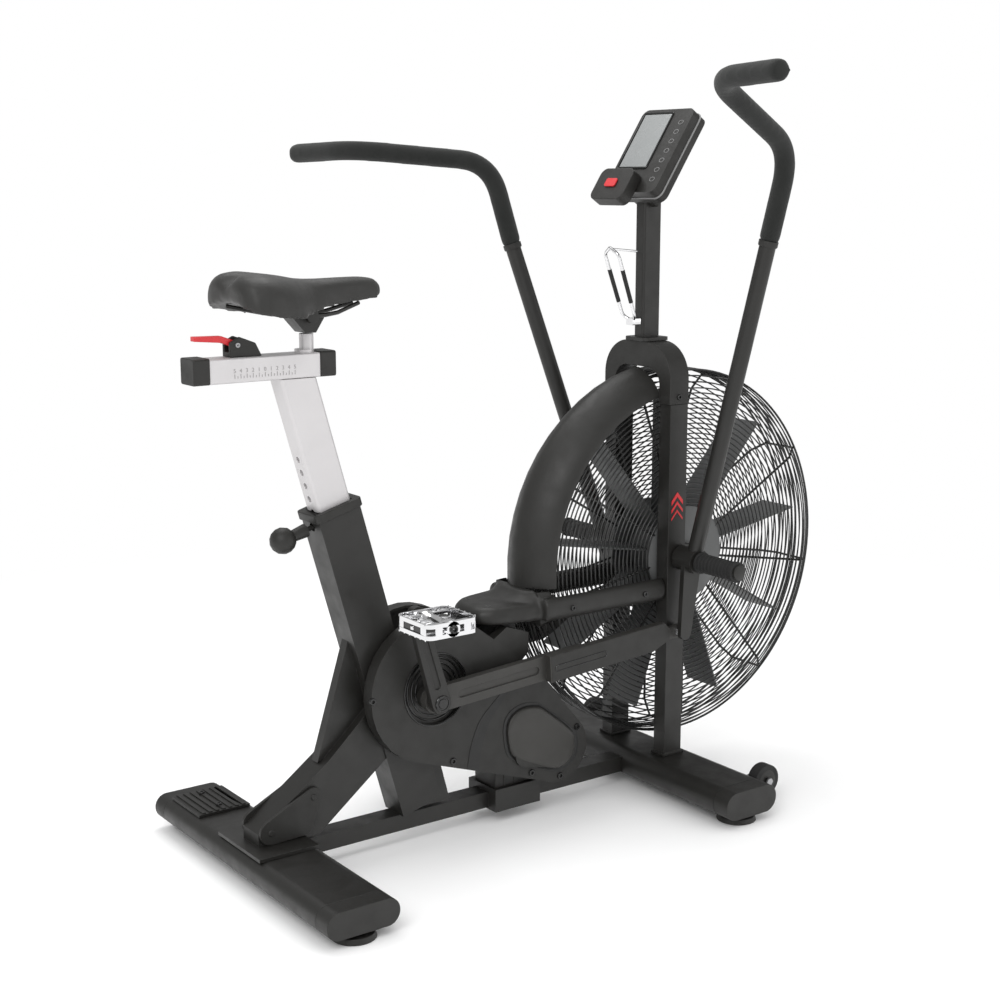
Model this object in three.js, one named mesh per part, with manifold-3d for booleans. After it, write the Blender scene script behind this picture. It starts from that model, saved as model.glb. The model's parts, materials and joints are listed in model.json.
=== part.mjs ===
// Air bike: a stationary cycle whose pedals and swinging arm levers drive one big fan.
// Millimetres. +X points forward (rear foot to fan), +Y to the rider's left, +Z up.
// Dimensions are measured from the floor under the middle of the rear foot. The finished group is
// then moved along X so that its origin is on the floor at the centre of the whole machine.
import * as THREE from 'three';
import { mergeVertices } from 'three/addons/utils/BufferGeometryUtils.js';
import Module from 'manifold-3d';

const wasm = await Module();
wasm.setup();

// ---------------------------------------------------------------- driving dimensions

const GAP = 0.3;
const FEET = {
  rear: { x: 0, halfLength: 289, halfWidth: 61.5, bottom: 15, top: 58, padInset: 30 },
  front: { x: 765.5, halfLength: 295, halfWidth: 58, bottom: 15, top: 64.5, padInset: 37 },
  capLength: 34,
  padRadius: 34.5,
  stemRadius: 6,
  stemDepth: 10,
};
const WHEEL = { behindFoot: 30, z: 44, radius: 28, y: [222, 243] };
const TREAD = { halfWidth: 46, start: 150, ribPitch: 12, ribs: 7 };
const RAIL = { rear: 40, halfWidth: 18, bottom: 25, top: 53 };
const SEAT_TUBE = { x: 125, z: 572, lean: -16, length: 76, width: 56, down: 530 };
const POST = { length: 60, width: 40, top: 245, bottom: -220 };
const PIN_HOLES = { first: 100, pitch: 22, count: 10, radius: 5, pinAt: -10 };
const BEAM = { rear: -83, front: 100, bottom: 787, top: 824, halfWidth: 20, capLength: 27 };
const BOTTOM_BRACKET = { x: 281, z: 269 };
const CRANK = { pinRadius: 22.6, pinAngle: 194.7, pedalRadius: 160, pedalAngle: 114.5 };
const BLOCK = { rear: 412, front: 507, halfWidth: 40, bottom: 22, top: 62 };
const JACK = { x: 536, z: 116 };
const COVER = { nose: 122, tail: 60, knee: { x: 446, z: 222 }, inside: 32, outside: 56, wall: 4 };
const PUSHROD = { length: 507, halfHeight: 21, jogFrom: 470, jogTo: 545 };
const FAN = { x: 822, z: 422, rim: 330, face: 55, faceRadius: 298, rimY: 38, hub: 84, blades: 9 };
const FORK = { x: 770, halfDepth: 20, inner: 58, outer: 87, top: 699 };
const ARCH = { rear: 747, front: 790, halfWidth: 88, inner: 59, top: 804, innerTop: 760 };
const FENDER = { outer: 345, inner: 298, halfWidth: 60, wall: 3, bottom: 402 };
const LEVER = { x: 778, z: 428, y: 122, tube: 14, foam: 18, rightSwing: 5.9, leftSwing: -13.9 };
const LEVER_BENDS = [[-3, 227, 551], [1, 251, 703], [-234, 309, 782], [-259, 475, 783]];
const MAST = { x: 768, depth: 40, width: 24, bottom: 804.6, top: 1078 };
const CONSOLE = { x: 771, z: 1126, tilt: 33.5, width: 132, length: 168, thickness: 32 };

// ---------------------------------------------------------------- materials

function material(name, color, roughness, metalness) {
  return new THREE.MeshStandardMaterial({ name, color, roughness, metalness });
}

const MATERIALS = {
  paint: material('satin_black_paint', 0x2e2e2a, 0.45, 0.2),
  plastic: material('black_plastic', 0x32312e, 0.6, 0.0),
  cover: material('warm_grey_plastic', 0x484644, 0.55, 0.0),
  foam: material('foam', 0x1c1e1c, 0.95, 0.0),
  silver: material('brushed_aluminium', 0xe1dede, 0.35, 0.8),
  chrome: material('chrome', 0xe8e8e8, 0.12, 1.0),
  steel: material('zinc_steel', 0x8e8f90, 0.35, 0.9),
  red: material('red_plastic', 0xc8282d, 0.4, 0.0),
  rubber: material('rubber', 0x151515, 0.9, 0.0),
  screen: material('lcd', 0x9aa0a2, 0.2, 0.0),
  wire: material('black_wire', 0x1b1b1b, 0.4, 0.4),
  blade: material('fan_blade', 0x5d5e5e, 0.6, 0.1),
  leather: material('saddle_cover', 0x2b2a27, 0.6, 0.0),
};

// ---------------------------------------------------------------- solids from geometries

function toSolid(geometry) {
  const bare = geometry.clone();
  bare.deleteAttribute('normal');
  bare.deleteAttribute('uv');
  const merged = mergeVertices(bare, 1e-3);
  return new wasm.Manifold(new wasm.Mesh({
    numProp: 3,
    vertProperties: Float32Array.from(merged.attributes.position.array),
    triVerts: Uint32Array.from(merged.index.array),
  }));
}

function toGeometry(solid) {
  const raw = solid.getMesh();
  const geometry = new THREE.BufferGeometry();
  geometry.setAttribute('position', new THREE.BufferAttribute(raw.vertProperties, 3));
  geometry.setIndex(new THREE.BufferAttribute(raw.triVerts, 1));
  geometry.computeVertexNormals();
  return geometry;
}

function join(...geometries) {
  return toGeometry(geometries.map(toSolid).reduce((whole, piece) => whole.add(piece)));
}

function cut(geometry, ...tools) {
  return toGeometry(tools.map(toSolid).reduce((rest, tool) => rest.subtract(tool), toSolid(geometry)));
}

function common(geometry, tool) {
  return toGeometry(toSolid(geometry).intersect(toSolid(tool)));
}

// ---------------------------------------------------------------- basic shapes

const rad = THREE.MathUtils.degToRad;

function box(x, y, z) {
  const geometry = new THREE.BoxGeometry(x[1] - x[0], y[1] - y[0], z[1] - z[0]);
  return geometry.translate((x[0] + x[1]) / 2, (y[0] + y[1]) / 2, (z[0] + z[1]) / 2);
}

// The span from near to far on one side of the middle plane, lowest first.
function span(side, near, far) {
  return side > 0 ? [near, far] : [-far, -near];
}

function rodY(x, z, radius, y, sides = 24) {
  const geometry = new THREE.CylinderGeometry(radius, radius, y[1] - y[0], sides);
  return geometry.translate(x, (y[0] + y[1]) / 2, z);
}

function rodZ(x, y, radius, z, sides = 20, topRadius = radius) {
  const geometry = new THREE.CylinderGeometry(topRadius, radius, z[1] - z[0], sides);
  return geometry.rotateX(Math.PI / 2).translate(x, y, (z[0] + z[1]) / 2);
}

// An (x, z) outline given its thickness across the bike.
function plateY(shape, y, curveSegments = 6) {
  const depth = y[1] - y[0];
  const geometry = new THREE.ExtrudeGeometry(shape, { depth, bevelEnabled: false, curveSegments });
  return geometry.rotateX(Math.PI / 2).translate(0, y[1], 0);
}

// A (y, z) outline given its thickness along the bike.
function plateX(shape, x, curveSegments = 6) {
  const depth = x[1] - x[0];
  const geometry = new THREE.ExtrudeGeometry(shape, { depth, bevelEnabled: false, curveSegments });
  return geometry.rotateX(Math.PI / 2).rotateZ(Math.PI / 2).translate(x[0], 0, 0);
}

// An (x, y) outline given its height.
function plateZ(shape, z, curveSegments = 6) {
  const depth = z[1] - z[0];
  const geometry = new THREE.ExtrudeGeometry(shape, { depth, bevelEnabled: false, curveSegments });
  return geometry.translate(0, 0, z[0]);
}

function polygon(points) {
  return new THREE.Shape(points.map(([a, b]) => new THREE.Vector2(a, b)));
}

function roundedRectangle(a, b, radius) {
  const shape = new THREE.Shape();
  shape.moveTo(a[0] + radius, b[0]);
  shape.lineTo(a[1] - radius, b[0]);
  shape.absarc(a[1] - radius, b[0] + radius, radius, -Math.PI / 2, 0);
  shape.lineTo(a[1], b[1] - radius);
  shape.absarc(a[1] - radius, b[1] - radius, radius, 0, Math.PI / 2);
  shape.lineTo(a[0] + radius, b[1]);
  shape.absarc(a[0] + radius, b[1] - radius, radius, Math.PI / 2, Math.PI);
  shape.lineTo(a[0], b[0] + radius);
  shape.absarc(a[0] + radius, b[0] + radius, radius, Math.PI, Math.PI * 1.5);
  return shape;
}

// The outline of a band stretched round circles given as [x, z, radius].
function beltOutline(circles, sides = 32) {
  const points = circles.flatMap(([x, z, radius]) => Array.from({ length: sides }, (_, i) => {
    const angle = (i / sides) * Math.PI * 2;
    return [x + radius * Math.cos(angle), z + radius * Math.sin(angle)];
  }));
  return polygon(convexHull(points));
}

function convexHull(points) {
  const sorted = [...points].sort((p, q) => p[0] - q[0] || p[1] - q[1]);
  const half = (list) => {
    const chain = [];
    for (const point of list) {
      while (chain.length > 1 && turn(chain.at(-2), chain.at(-1), point) <= 1e-6) {
        chain.pop();
      }
      chain.push(point);
    }
    return chain.slice(0, -1);
  };
  return [...half(sorted), ...half(sorted.reverse())];
}

function turn(a, b, c) {
  return (b[0] - a[0]) * (c[1] - a[1]) - (b[1] - a[1]) * (c[0] - a[0]);
}

// A polyline through the points with each corner rounded off.
function roundedPath(points, radius) {
  const path = new THREE.CurvePath();
  const corners = points.map((point) => new THREE.Vector3(...point));
  let from = corners[0];
  for (let i = 1; i < corners.length - 1; i += 1) {
    const before = corners[i].clone().lerp(corners[i - 1], radius / corners[i].distanceTo(corners[i - 1]));
    const after = corners[i].clone().lerp(corners[i + 1], radius / corners[i].distanceTo(corners[i + 1]));
    path.add(new THREE.LineCurve3(from, before));
    path.add(new THREE.QuadraticBezierCurve3(before, corners[i], after));
    from = after;
  }
  path.add(new THREE.LineCurve3(from, corners.at(-1)));
  return path;
}

function sweep(path, radius, steps, sides = 12) {
  const circle = polygon(Array.from({ length: sides }, (_, i) => {
    const angle = (i / sides) * Math.PI * 2;
    return [radius * Math.cos(angle), radius * Math.sin(angle)];
  }));
  return new THREE.ExtrudeGeometry(circle, { steps, extrudePath: path, bevelEnabled: false });
}

function ringY(inner, outer, y, sides = 27) {
  const profile = [[inner, y[0]], [outer, y[0]], [outer, y[1]], [inner, y[1]], [inner, y[0]]];
  return new THREE.LatheGeometry(profile.map(([r, h]) => new THREE.Vector2(r, h)), sides);
}

// ---------------------------------------------------------------- scene graph helpers

const bike = new THREE.Group();

function add(name, finish, geometry, parent = bike) {
  const mesh = new THREE.Mesh(geometry, MATERIALS[finish]);
  mesh.name = name;
  parent.add(mesh);
  return mesh;
}

// A group whose own axes stand at (x, z) and are tipped about the crosswise axis.
function tipped(x, z, degrees) {
  const group = new THREE.Group();
  group.position.set(x, 0, z);
  group.rotation.y = rad(degrees);
  bike.add(group);
  return group;
}

const SIDES = [['right', -1], ['left', 1]];

// ---------------------------------------------------------------- feet

function footOutline({ x, halfWidth, bottom, top }) {
  return roundedRectangle([x - halfWidth, x + halfWidth], [bottom, top], (top - bottom) / 2 - 0.5);
}

function addFoot(name, foot) {
  const inner = foot.halfLength - FEET.capLength;
  const stemHoles = SIDES.map(([, sign]) => stemHole(foot, sign));
  add(`${name}_foot_tube`, 'paint', cut(plateY(footOutline(foot), [-inner, inner]), ...stemHoles));
  for (const [side, sign] of SIDES) {
    const cap = plateY(footOutline(foot), span(sign, inner + GAP, foot.halfLength));
    add(`${name}_foot_cap_${side}`, 'plastic', cut(cap, stemHole(foot, sign)));
    addLevellingFoot(`${name}_levelling_foot_${side}`, foot, sign);
  }
}

// The hole a levelling foot's stem screws into, half in the tube and half in its cap.
function stemHole(foot, sign) {
  const y = sign * (foot.halfLength - foot.padInset);
  const z = [foot.bottom - 5, foot.bottom + FEET.stemDepth + 4];
  return rodZ(foot.x, y, FEET.stemRadius + 1, z, 16);
}

function addLevellingFoot(name, foot, sign) {
  const y = sign * (foot.halfLength - foot.padInset);
  const pad = rodZ(foot.x, y, FEET.padRadius, [0, 9], 24, FEET.padRadius - 3);
  const stem = rodZ(foot.x, y, FEET.stemRadius, [8, foot.bottom + FEET.stemDepth], 12);
  add(name, 'paint', join(pad, stem));
}

function addTreadCover() {
  const { top } = FEET.rear;
  const { halfWidth, start, ribPitch, ribs } = TREAD;
  const end = FEET.rear.halfLength - FEET.capLength - 1;
  const plate = box([-halfWidth, halfWidth], [start, end], [top + GAP, top + 5]);
  const ridges = Array.from({ length: ribs }, (_, i) => {
    const x = (i - (ribs - 1) / 2) * ribPitch;
    return box([x - 3, x + 3], [start + 2, end - 2], [top + 4, top + 7]);
  });
  add('rear_tread_cover', 'plastic', join(plate, ...ridges));
}

function addTransportWheel(side, sign) {
  const foot = FEET.front;
  const edge = foot.x + foot.halfWidth;
  const x = edge + WHEEL.behindFoot;
  const arm = plateY(beltOutline([[x, WHEEL.z, 9], [edge + 4, 42, 10]], 12), span(sign, 216, 221));
  const pin = rodY(x, WHEEL.z, 4, span(sign, 220, 247), 12);
  const seat = box([edge - 2, edge + 6], span(sign, 205, 221), [30, 52]);
  const footRoom = plateY(footOutline({ ...foot, halfWidth: foot.halfWidth + GAP }), [-300, 300]);
  add(`wheel_bracket_${side}`, 'paint', cut(join(arm, pin, seat), footRoom));
  const tyre = rodY(x, WHEEL.z, WHEEL.radius, span(sign, ...WHEEL.y), 28);
  add(`transport_wheel_${side}`, 'rubber', cut(tyre, rodY(x, WHEEL.z, 4.6, [-300, 300], 12)));
}

// ---------------------------------------------------------------- welded frame

function seatTubeBox(x, y, z) {
  const tube = box(x, y, z);
  return tube.rotateY(rad(SEAT_TUBE.lean)).translate(SEAT_TUBE.x, 0, SEAT_TUBE.z);
}

function addFrame() {
  const { length, width, down } = SEAT_TUBE;
  const tube = seatTubeBox([-length / 2, length / 2], [-width / 2, width / 2], [-down, 0]);
  const bore = seatTubeBox(
    [-POST.length / 2 - 2, POST.length / 2 + 2],
    [-POST.width / 2 - 2, POST.width / 2 + 2],
    [-420, 10],
  );
  const pinHole = new THREE.CylinderGeometry(7, 7, 60, 16).rotateZ(Math.PI / 2)
    .translate(-length / 2, 0, PIN_HOLES.pinAt)
    .rotateY(rad(SEAT_TUBE.lean)).translate(SEAT_TUBE.x, 0, SEAT_TUBE.z);
  const strutOutline = [[-30, 60], [78, 60], [262, 204], [240, 262], [190, 262], [96, 176], [-30, 84]];
  const strut = plateY(polygon(strutOutline), [-25, 25]);
  const gusset = plateY(polygon([[86, 172], [151, 380], [205, 300], [170, 210]]), [-9, 9]);
  const frontGusset = plateY(polygon([[262, 60], [330, 60], [292, 200], [240, 240]]), [-22, 22]);
  const railFront = FEET.front.x - FEET.front.halfWidth + 6;
  const rail = box([RAIL.rear, railFront], [-RAIL.halfWidth, RAIL.halfWidth], [RAIL.bottom, RAIL.top]);
  const footPlate = box([-52, 52], [-70, 70], [FEET.rear.top + GAP, FEET.rear.top + 6]);
  const blockWidth = [-BLOCK.halfWidth, BLOCK.halfWidth];
  const block = box([BLOCK.rear, BLOCK.front], blockWidth, [BLOCK.bottom, BLOCK.top]);
  const shell = rodY(BOTTOM_BRACKET.x, BOTTOM_BRACKET.z, 24, [-27, 27], 28);
  const shellLug = box([225, 285], [-24, 24], [248, 290]);
  const boreThrough = rodY(BOTTOM_BRACKET.x, BOTTOM_BRACKET.z, 12.5, [-60, 60], 24);
  const cross = plateY(polygon([[505, 50], [567, 50], [556, 136], [516, 136]]), [-17, 17]);
  const jackBore = rodY(JACK.x, JACK.z, 10, [-40, 40], 20);
  const spine = plateY(polygon([[236, 262], [250, 225], [470, 300], [470, 353], [310, 300]]), [-17, 17]);
  const guardClear = rodY(FAN.x, FAN.z, FAN.rim + 8, [-60, 60], 54);
  const footClear = [FEET.rear, FEET.front].map((foot) => plateY(
    footOutline({ ...foot, halfWidth: foot.halfWidth + GAP, bottom: foot.bottom - 1, top: foot.top + GAP }),
    [-300, 300],
  ));
  const whole = join(tube, strut, gusset, frontGusset, rail, footPlate, block, shell, shellLug, cross, spine);
  add('frame_weldment', 'paint', cut(whole, bore, pinHole, boreThrough, jackBore, guardClear, ...footClear));
}

function addStrutShroud() {
  for (const [side, sign] of SIDES) {
    const outline = beltOutline([[-10, 84, 20], [48, 84, 18], [66, 128, 14]], 16);
    const shroud = plateY(outline, span(sign, 25 + GAP, 31));
    const screws = [[-10, 84], [66, 126]].map(([x, z]) => rodY(x, z, 5, span(sign, 30, 33), 12));
    add(`strut_shroud_${side}`, 'plastic', join(shroud, ...screws));
  }
}

// ---------------------------------------------------------------- seat

function addSeat() {
  const seat = tipped(SEAT_TUBE.x, SEAT_TUBE.z, SEAT_TUBE.lean);
  const a = POST.length / 2;
  const b = POST.width / 2;
  const collarOutline = roundedRectangle([-a - 13, a + 13], [-b - 12, b + 12], 8);
  const collar = cut(plateZ(collarOutline, [GAP, 14]), box([-a - 1, a + 1], [-b - 1, b + 1], [-5, 30]));
  add('seat_tube_collar', 'plastic', collar, seat);

  const postBody = plateZ(roundedRectangle([-a, a], [-b, b], 6), [POST.bottom, POST.top]);
  const { first, pitch, count, radius, pinAt } = PIN_HOLES;
  const holes = Array.from({ length: count }, (_, i) => new THREE.CylinderGeometry(radius, radius, 12, 12)
    .rotateZ(Math.PI / 2).translate(-a, 0, first - i * pitch));
  const above = box([-200, 200], [-60, 60], [BEAM.bottom - GAP, 1000]);
  above.translate(-SEAT_TUBE.x, 0, -SEAT_TUBE.z).rotateY(rad(-SEAT_TUBE.lean));
  add('seat_post', 'silver', cut(postBody, ...holes, above), seat);

  const knobBody = new THREE.SphereGeometry(21, 14, 10).translate(-a - 62, 0, pinAt);
  const stem = new THREE.CylinderGeometry(9, 11, 28, 16).rotateZ(Math.PI / 2).translate(-a - 34, 0, pinAt);
  const pin = new THREE.CylinderGeometry(4, 4, 30, 12).rotateZ(Math.PI / 2).translate(-a - 16, 0, pinAt);
  add('seat_pin_knob', 'plastic', join(knobBody, stem, pin), seat);
}

function addSeatBeam() {
  const { rear, front, bottom, top, halfWidth, capLength } = BEAM;
  const tube = plateX(roundedRectangle([-halfWidth, halfWidth], [bottom, top], 3), [rear, front]);
  const stub = join(rodZ(88, 0, 11, [top - 1, top + 28], 20), rodZ(84, 0, 15, [top - 1, top + 5], 20));
  add('seat_beam', 'silver', join(tube, stub));
  const capOutline = roundedRectangle([-halfWidth - 2, halfWidth + 2], [bottom, top + 2], 4);
  add('seat_beam_cap_rear', 'plastic', plateX(capOutline, [rear - capLength, rear - GAP]));
  add('seat_beam_cap_front', 'plastic', plateX(capOutline, [front + GAP, front + capLength]));
  addClamp(top);
}

// The cam clamp that locks the beam: a body on the beam and a handle that lifts about its eye.
function addClamp(top) {
  const eye = { x: -34, z: top + 18 };
  const bodyOutline = polygon([
    [-46, top + GAP],
    [6, top + GAP],
    [-4, top + 20],
    [-30, top + 30],
    [-46, top + 22],
  ]);
  const eyeRoom = rodY(eye.x, eye.z, 7, [-7, 7], 16);
  const handleRoom = box([-60, -26], [-7, 7], [top + 8, top + 40]);
  add('clamp_body', 'plastic', cut(plateY(bodyOutline, [-13, 13]), eyeRoom, handleRoom));
  const handleOutline = polygon([
    [-34, top + 13],
    [-56, top + 22],
    [-100, top + 26],
    [-100, top + 33],
    [-56, top + 32],
    [-34, top + 24],
  ]);
  add('clamp_lever', 'red', join(rodY(eye.x, eye.z, 6, [-6, 6], 16), plateY(handleOutline, [-6, 6])));
}

function addSaddle() {
  const top = BEAM.top + 28;
  const block = plateY(polygon([[78, top + 2], [96, top + 2], [112, top + 26], [56, top + 26]]), [-17, 17]);
  const clamp = join(block, rodY(86, top + 27, 10, [-27, 27], 16));
  const rails = SIDES.map(([, sign]) => {
    const points = [[-24, 40, 43], [46, 21, 28], [124, 21, 28], [176, 9, 43]];
    return sweep(roundedPath(points.map(([x, y, z]) => [x, sign * y, top + z]), 16), 3.5, 9, 6);
  });
  add('saddle_clamp', 'paint', join(clamp, ...rails));
  add('saddle', 'leather', saddleSolid(top + 56));
}

// A wide padded shell lofted through half-ellipse sections from tail to nose.
function saddleSolid(base) {
  const stations = [
    { x: -50, half: 52, rise: 26, drop: 8 },
    { x: -40, half: 74, rise: 36, drop: 10 },
    { x: -12, half: 86, rise: 38, drop: 12 },
    { x: 24, half: 82, rise: 32, drop: 12 },
    { x: 60, half: 60, rise: 25, drop: 12 },
    { x: 100, half: 38, rise: 23, drop: 11 },
    { x: 150, half: 27, rise: 24, drop: 8 },
    { x: 198, half: 21, rise: 24, drop: 8 },
    { x: 220, half: 12, rise: 14, drop: 6 },
  ];
  const around = 14;
  const points = stations.flatMap(({ x, half, rise, drop }) => Array.from({ length: around }, (_, i) => {
    const angle = (i / around) * Math.PI * 2;
    const height = Math.sin(angle) > 0 ? rise : drop;
    return [x, half * Math.cos(angle), base + height * Math.sin(angle)];
  }));
  return loft(points, stations.length, around);
}

// A closed skin through rings of equal count, with flat ends.
function loft(points, rings, around) {
  const index = [];
  for (let ring = 0; ring < rings - 1; ring += 1) {
    for (let i = 0; i < around; i += 1) {
      const a = ring * around + i;
      const b = ring * around + ((i + 1) % around);
      index.push(a, b, a + around, b, b + around, a + around);
    }
  }
  const last = (rings - 1) * around;
  for (let i = 1; i < around - 1; i += 1) {
    index.push(0, i + 1, i, last, last + i, last + i + 1);
  }
  const geometry = new THREE.BufferGeometry();
  geometry.setAttribute('position', new THREE.Float32BufferAttribute(points.flat(), 3));
  geometry.setIndex(index);
  geometry.computeVertexNormals();
  return geometry;
}

// ---------------------------------------------------------------- crank, pedals and pushrods

function polar(angle, radius) {
  return [
    BOTTOM_BRACKET.x + radius * Math.cos(rad(angle)),
    BOTTOM_BRACKET.z + radius * Math.sin(rad(angle)),
  ];
}

function addCrank() {
  const { x, z } = BOTTOM_BRACKET;
  const pulley = rodY(x, z, 86, [-46, -38], 32);
  add('crank_pulley', 'steel', cut(pulley, rodY(x, z, 11.5 + GAP, [-60, 60], 18)));
  add('crank_axle', 'steel', rodY(x, z, 11.5, [-60, 60], 18));
  for (const [side, sign] of SIDES) {
    const turned = sign > 0 ? 180 : 0;
    const [pinX, pinZ] = polar(CRANK.pinAngle + turned, CRANK.pinRadius);
    const [pedalX, pedalZ] = polar(CRANK.pedalAngle + turned, CRANK.pedalRadius);
    const web = plateY(beltOutline([[x, z, 22], [pinX, pinZ, 19]], 20), span(sign, 60 + GAP, 74));
    const pin = rodY(pinX, pinZ, 9, span(sign, 73, 96), 16);
    const arm = plateY(beltOutline([[pinX, pinZ, 18], [pedalX, pedalZ, 14]], 20), span(sign, 95, 108));
    const groove = plateY(beltOutline([
      [pinX * 0.8 + pedalX * 0.2, pinZ * 0.8 + pedalZ * 0.2, 6],
      [pinX * 0.2 + pedalX * 0.8, pinZ * 0.2 + pedalZ * 0.8, 5],
    ], 12), span(sign, 105, 112));
    const spindle = rodY(pedalX, pedalZ, 6, span(sign, 107, 205), 12);
    add(`crank_${side}`, 'paint', join(cut(join(web, pin, arm), groove), spindle));
    addPedal(side, sign, pedalX, pedalZ);
    addPushrod(side, sign, pinX, pinZ);
  }
}

function addPedal(side, sign, x, z) {
  const plate = roundedRectangle([x - 48, x + 48], span(sign, 116, 208), 14);
  const hole = roundedRectangle([x - 38, x + 38], span(sign, 126, 198), 8);
  const cage = cut(plateZ(plate, [z - 14, z + 14], 3), plateZ(hole, [z - 20, z + 20], 3));
  const barrel = rodY(x, z, 13, span(sign, 114, 207), 16);
  const bridge = box([x - 40, x + 40], span(sign, 155, 169), [z - 5, z + 5]);
  add(`pedal_${side}`, 'silver', cut(join(cage, barrel, bridge), rodY(x, z, 6 + GAP, [-206, 206], 12)));
}

function addPushrod(side, sign, pinX, pinZ) {
  const swing = sign > 0 ? LEVER.leftSwing : LEVER.rightSwing;
  const end = [LEVER.x - 130 * Math.sin(rad(swing)), LEVER.z - 130 * Math.cos(rad(swing))];
  const angle = Math.atan2(end[1] - pinZ, end[0] - pinX);
  const { length, halfHeight, jogFrom, jogTo } = PUSHROD;
  const rearOutline = beltOutline([[0, 0, halfHeight], [jogTo - 250, 0, halfHeight]], 20);
  const rear = plateY(rearOutline, span(sign, 77, 91));
  const frontOutline = polygon([[jogFrom - 250, -halfHeight - 2], [length - 62, -halfHeight - 2],
    [length - 22, -9], [length - 22, 9], [length - 34, halfHeight + 2], [jogFrom - 250, halfHeight + 2]]);
  const front = plateY(frontOutline, span(sign, 89.5, 105));
  const eye = plateY(beltOutline([[length - 30, 0, 9], [length, 0, 12]], 16), span(sign, 94, 102));
  const stud = rodY(length, 0, 6, span(sign, 101, 110), 12);
  const groove = plateY(beltOutline([[48, 0, 7], [jogFrom - 270, 0, 7]], 12), span(sign, 88, 95));
  const bore = rodY(0, 0, 9 + GAP, [-120, 120], 16);
  const mesh = add(`pushrod_${side}`, 'cover', cut(join(cut(rear, groove), front, eye, stud), bore));
  mesh.position.set(pinX, 0, pinZ);
  mesh.rotation.y = -angle;
}

// ---------------------------------------------------------------- drive

function coverOutline(inset) {
  const { nose, tail, knee } = COVER;
  return beltOutline([
    [BOTTOM_BRACKET.x, BOTTOM_BRACKET.z, nose - inset],
    [JACK.x, JACK.z, tail - inset],
    [knee.x, knee.z, tail - inset],
  ], 32);
}

function addChainCovers() {
  const { x, z } = BOTTOM_BRACKET;
  const { inside, outside, wall } = COVER;
  for (const [side, sign] of SIDES) {
    const shell = plateY(coverOutline(0), span(sign, inside, outside));
    const hollow = plateY(coverOutline(wall), span(sign, inside - wall, outside - wall));
    const bump = beltOutline([[458, 172, 24], [536, 112, 28], [462, 124, 24]], 14);
    const raised = plateY(bump, span(sign, outside - 1, outside + 6));
    const bossOutline = polygon([[385, 325], [425, 350], [470, 334], [470, 300], [430, 262]]);
    const boss = plateY(bossOutline, span(sign, inside + wall, outside - 2));
    const recess = rodY(x, z, 58, span(sign, 50, 70), 28);
    const web = rodY(x, z, 62, span(sign, 47.5, 53), 28);
    const bore = rodY(x, z, 13, [-90, 90], 16);
    const spineRoom = plateY(polygon([[300, 240], [480, 240], [480, 400], [300, 400]]), [-17.6, 17.6]);
    const body = cut(join(cut(join(shell, boss), hollow), raised, web), recess, bore, spineRoom);
    add(`chain_cover_${side}`, 'plastic', cut(body, frameBlockClear()));
  }
}

function frameBlockClear() {
  const { rear, front, halfWidth, top } = BLOCK;
  return box([rear - 1, front + 1], [-halfWidth - 0.4, halfWidth + 0.4], [0, top + 0.4]);
}

function addJackshaft() {
  const { x, z } = JACK;
  const shaft = rodY(x, z, 9, [-46, 46], 14);
  const pulleys = SIDES.map(([, sign]) => rodY(x, z, sign > 0 ? 46 : 25, span(sign, 37, 46), 20));
  add('jackshaft', 'steel', join(shaft, ...pulleys));
  const outline = beltOutline([[BOTTOM_BRACKET.x, BOTTOM_BRACKET.z, 89.5], [x, z, 28.5]], 32);
  const inside = beltOutline([[BOTTOM_BRACKET.x, BOTTOM_BRACKET.z, 87], [x, z, 26]], 32);
  add('drive_belt', 'rubber', cut(plateY(outline, [-46.4, -37.6]), plateY(inside, [-60, -30])));
}

// ---------------------------------------------------------------- fan, guard and fender

function addFan() {
  const group = new THREE.Group();
  group.position.set(FAN.x, 0, FAN.z);
  bike.add(group);
  const hub = rodY(0, 0, 62, [-26, 26], 27);
  const shaft = rodY(0, 0, 10, [-50, 50], 12);
  const blades = Array.from({ length: FAN.blades }, (_, i) => box([50, 288], [-40, 40], [-1.5, 1.5])
    .rotateY(-rad(90 + (i * 360) / FAN.blades)));
  add('fan_rotor', 'blade', join(hub, shaft, ...blades), group);
  for (const [side, sign] of SIDES) {
    add(`fan_guard_${side}`, 'wire', guardHalf(sign), group);
  }
}

function guardHalf(sign) {
  const { face, faceRadius, rim, rimY, hub, blades } = FAN;
  const flat = span(sign, face - 3, face);
  const plate = cut(rodY(0, 0, hub, span(sign, face - 3, face + 1), 27), rodY(0, 0, 14, [-80, 80], 12));
  const ring = ringY(faceRadius - 2, faceRadius + 2, flat);
  const rims = [rimY, 4].map((y) => ringY(rim - 4, rim, span(sign, y - 3, y)));
  const length = Math.hypot(rim - faceRadius, face - rimY);
  const slope = Math.atan2(face - rimY, rim - faceRadius);
  const spokes = Array.from({ length: blades }, (_, i) => {
    const arm = box([hub - 10, faceRadius + 1], flat, [-2, 2]);
    const bend = box([-1, length + 1], [-3, 0], [-2, 2]);
    bend.rotateZ(-slope).translate(faceRadius, face, 0);
    if (sign < 0) {
      bend.scale(1, -1, 1);
      bend.index.array.reverse();
    }
    const edge = box([rim - 4, rim], span(sign, 2, rimY), [-2, 2]);
    return join(arm, bend, edge).rotateY(rad(90 + (i * 360) / blades));
  });
  const fenderSector = box([-400, ARCH.rear - FAN.x], [-90, 90], [FENDER.bottom - FAN.z - 1, 400]);
  const fenderRoom = common(ringY(302, 400, [-90, 90]), fenderSector);
  return cut(join(plate, ring, ...rims, ...spokes), fenderRoom);
}

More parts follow.
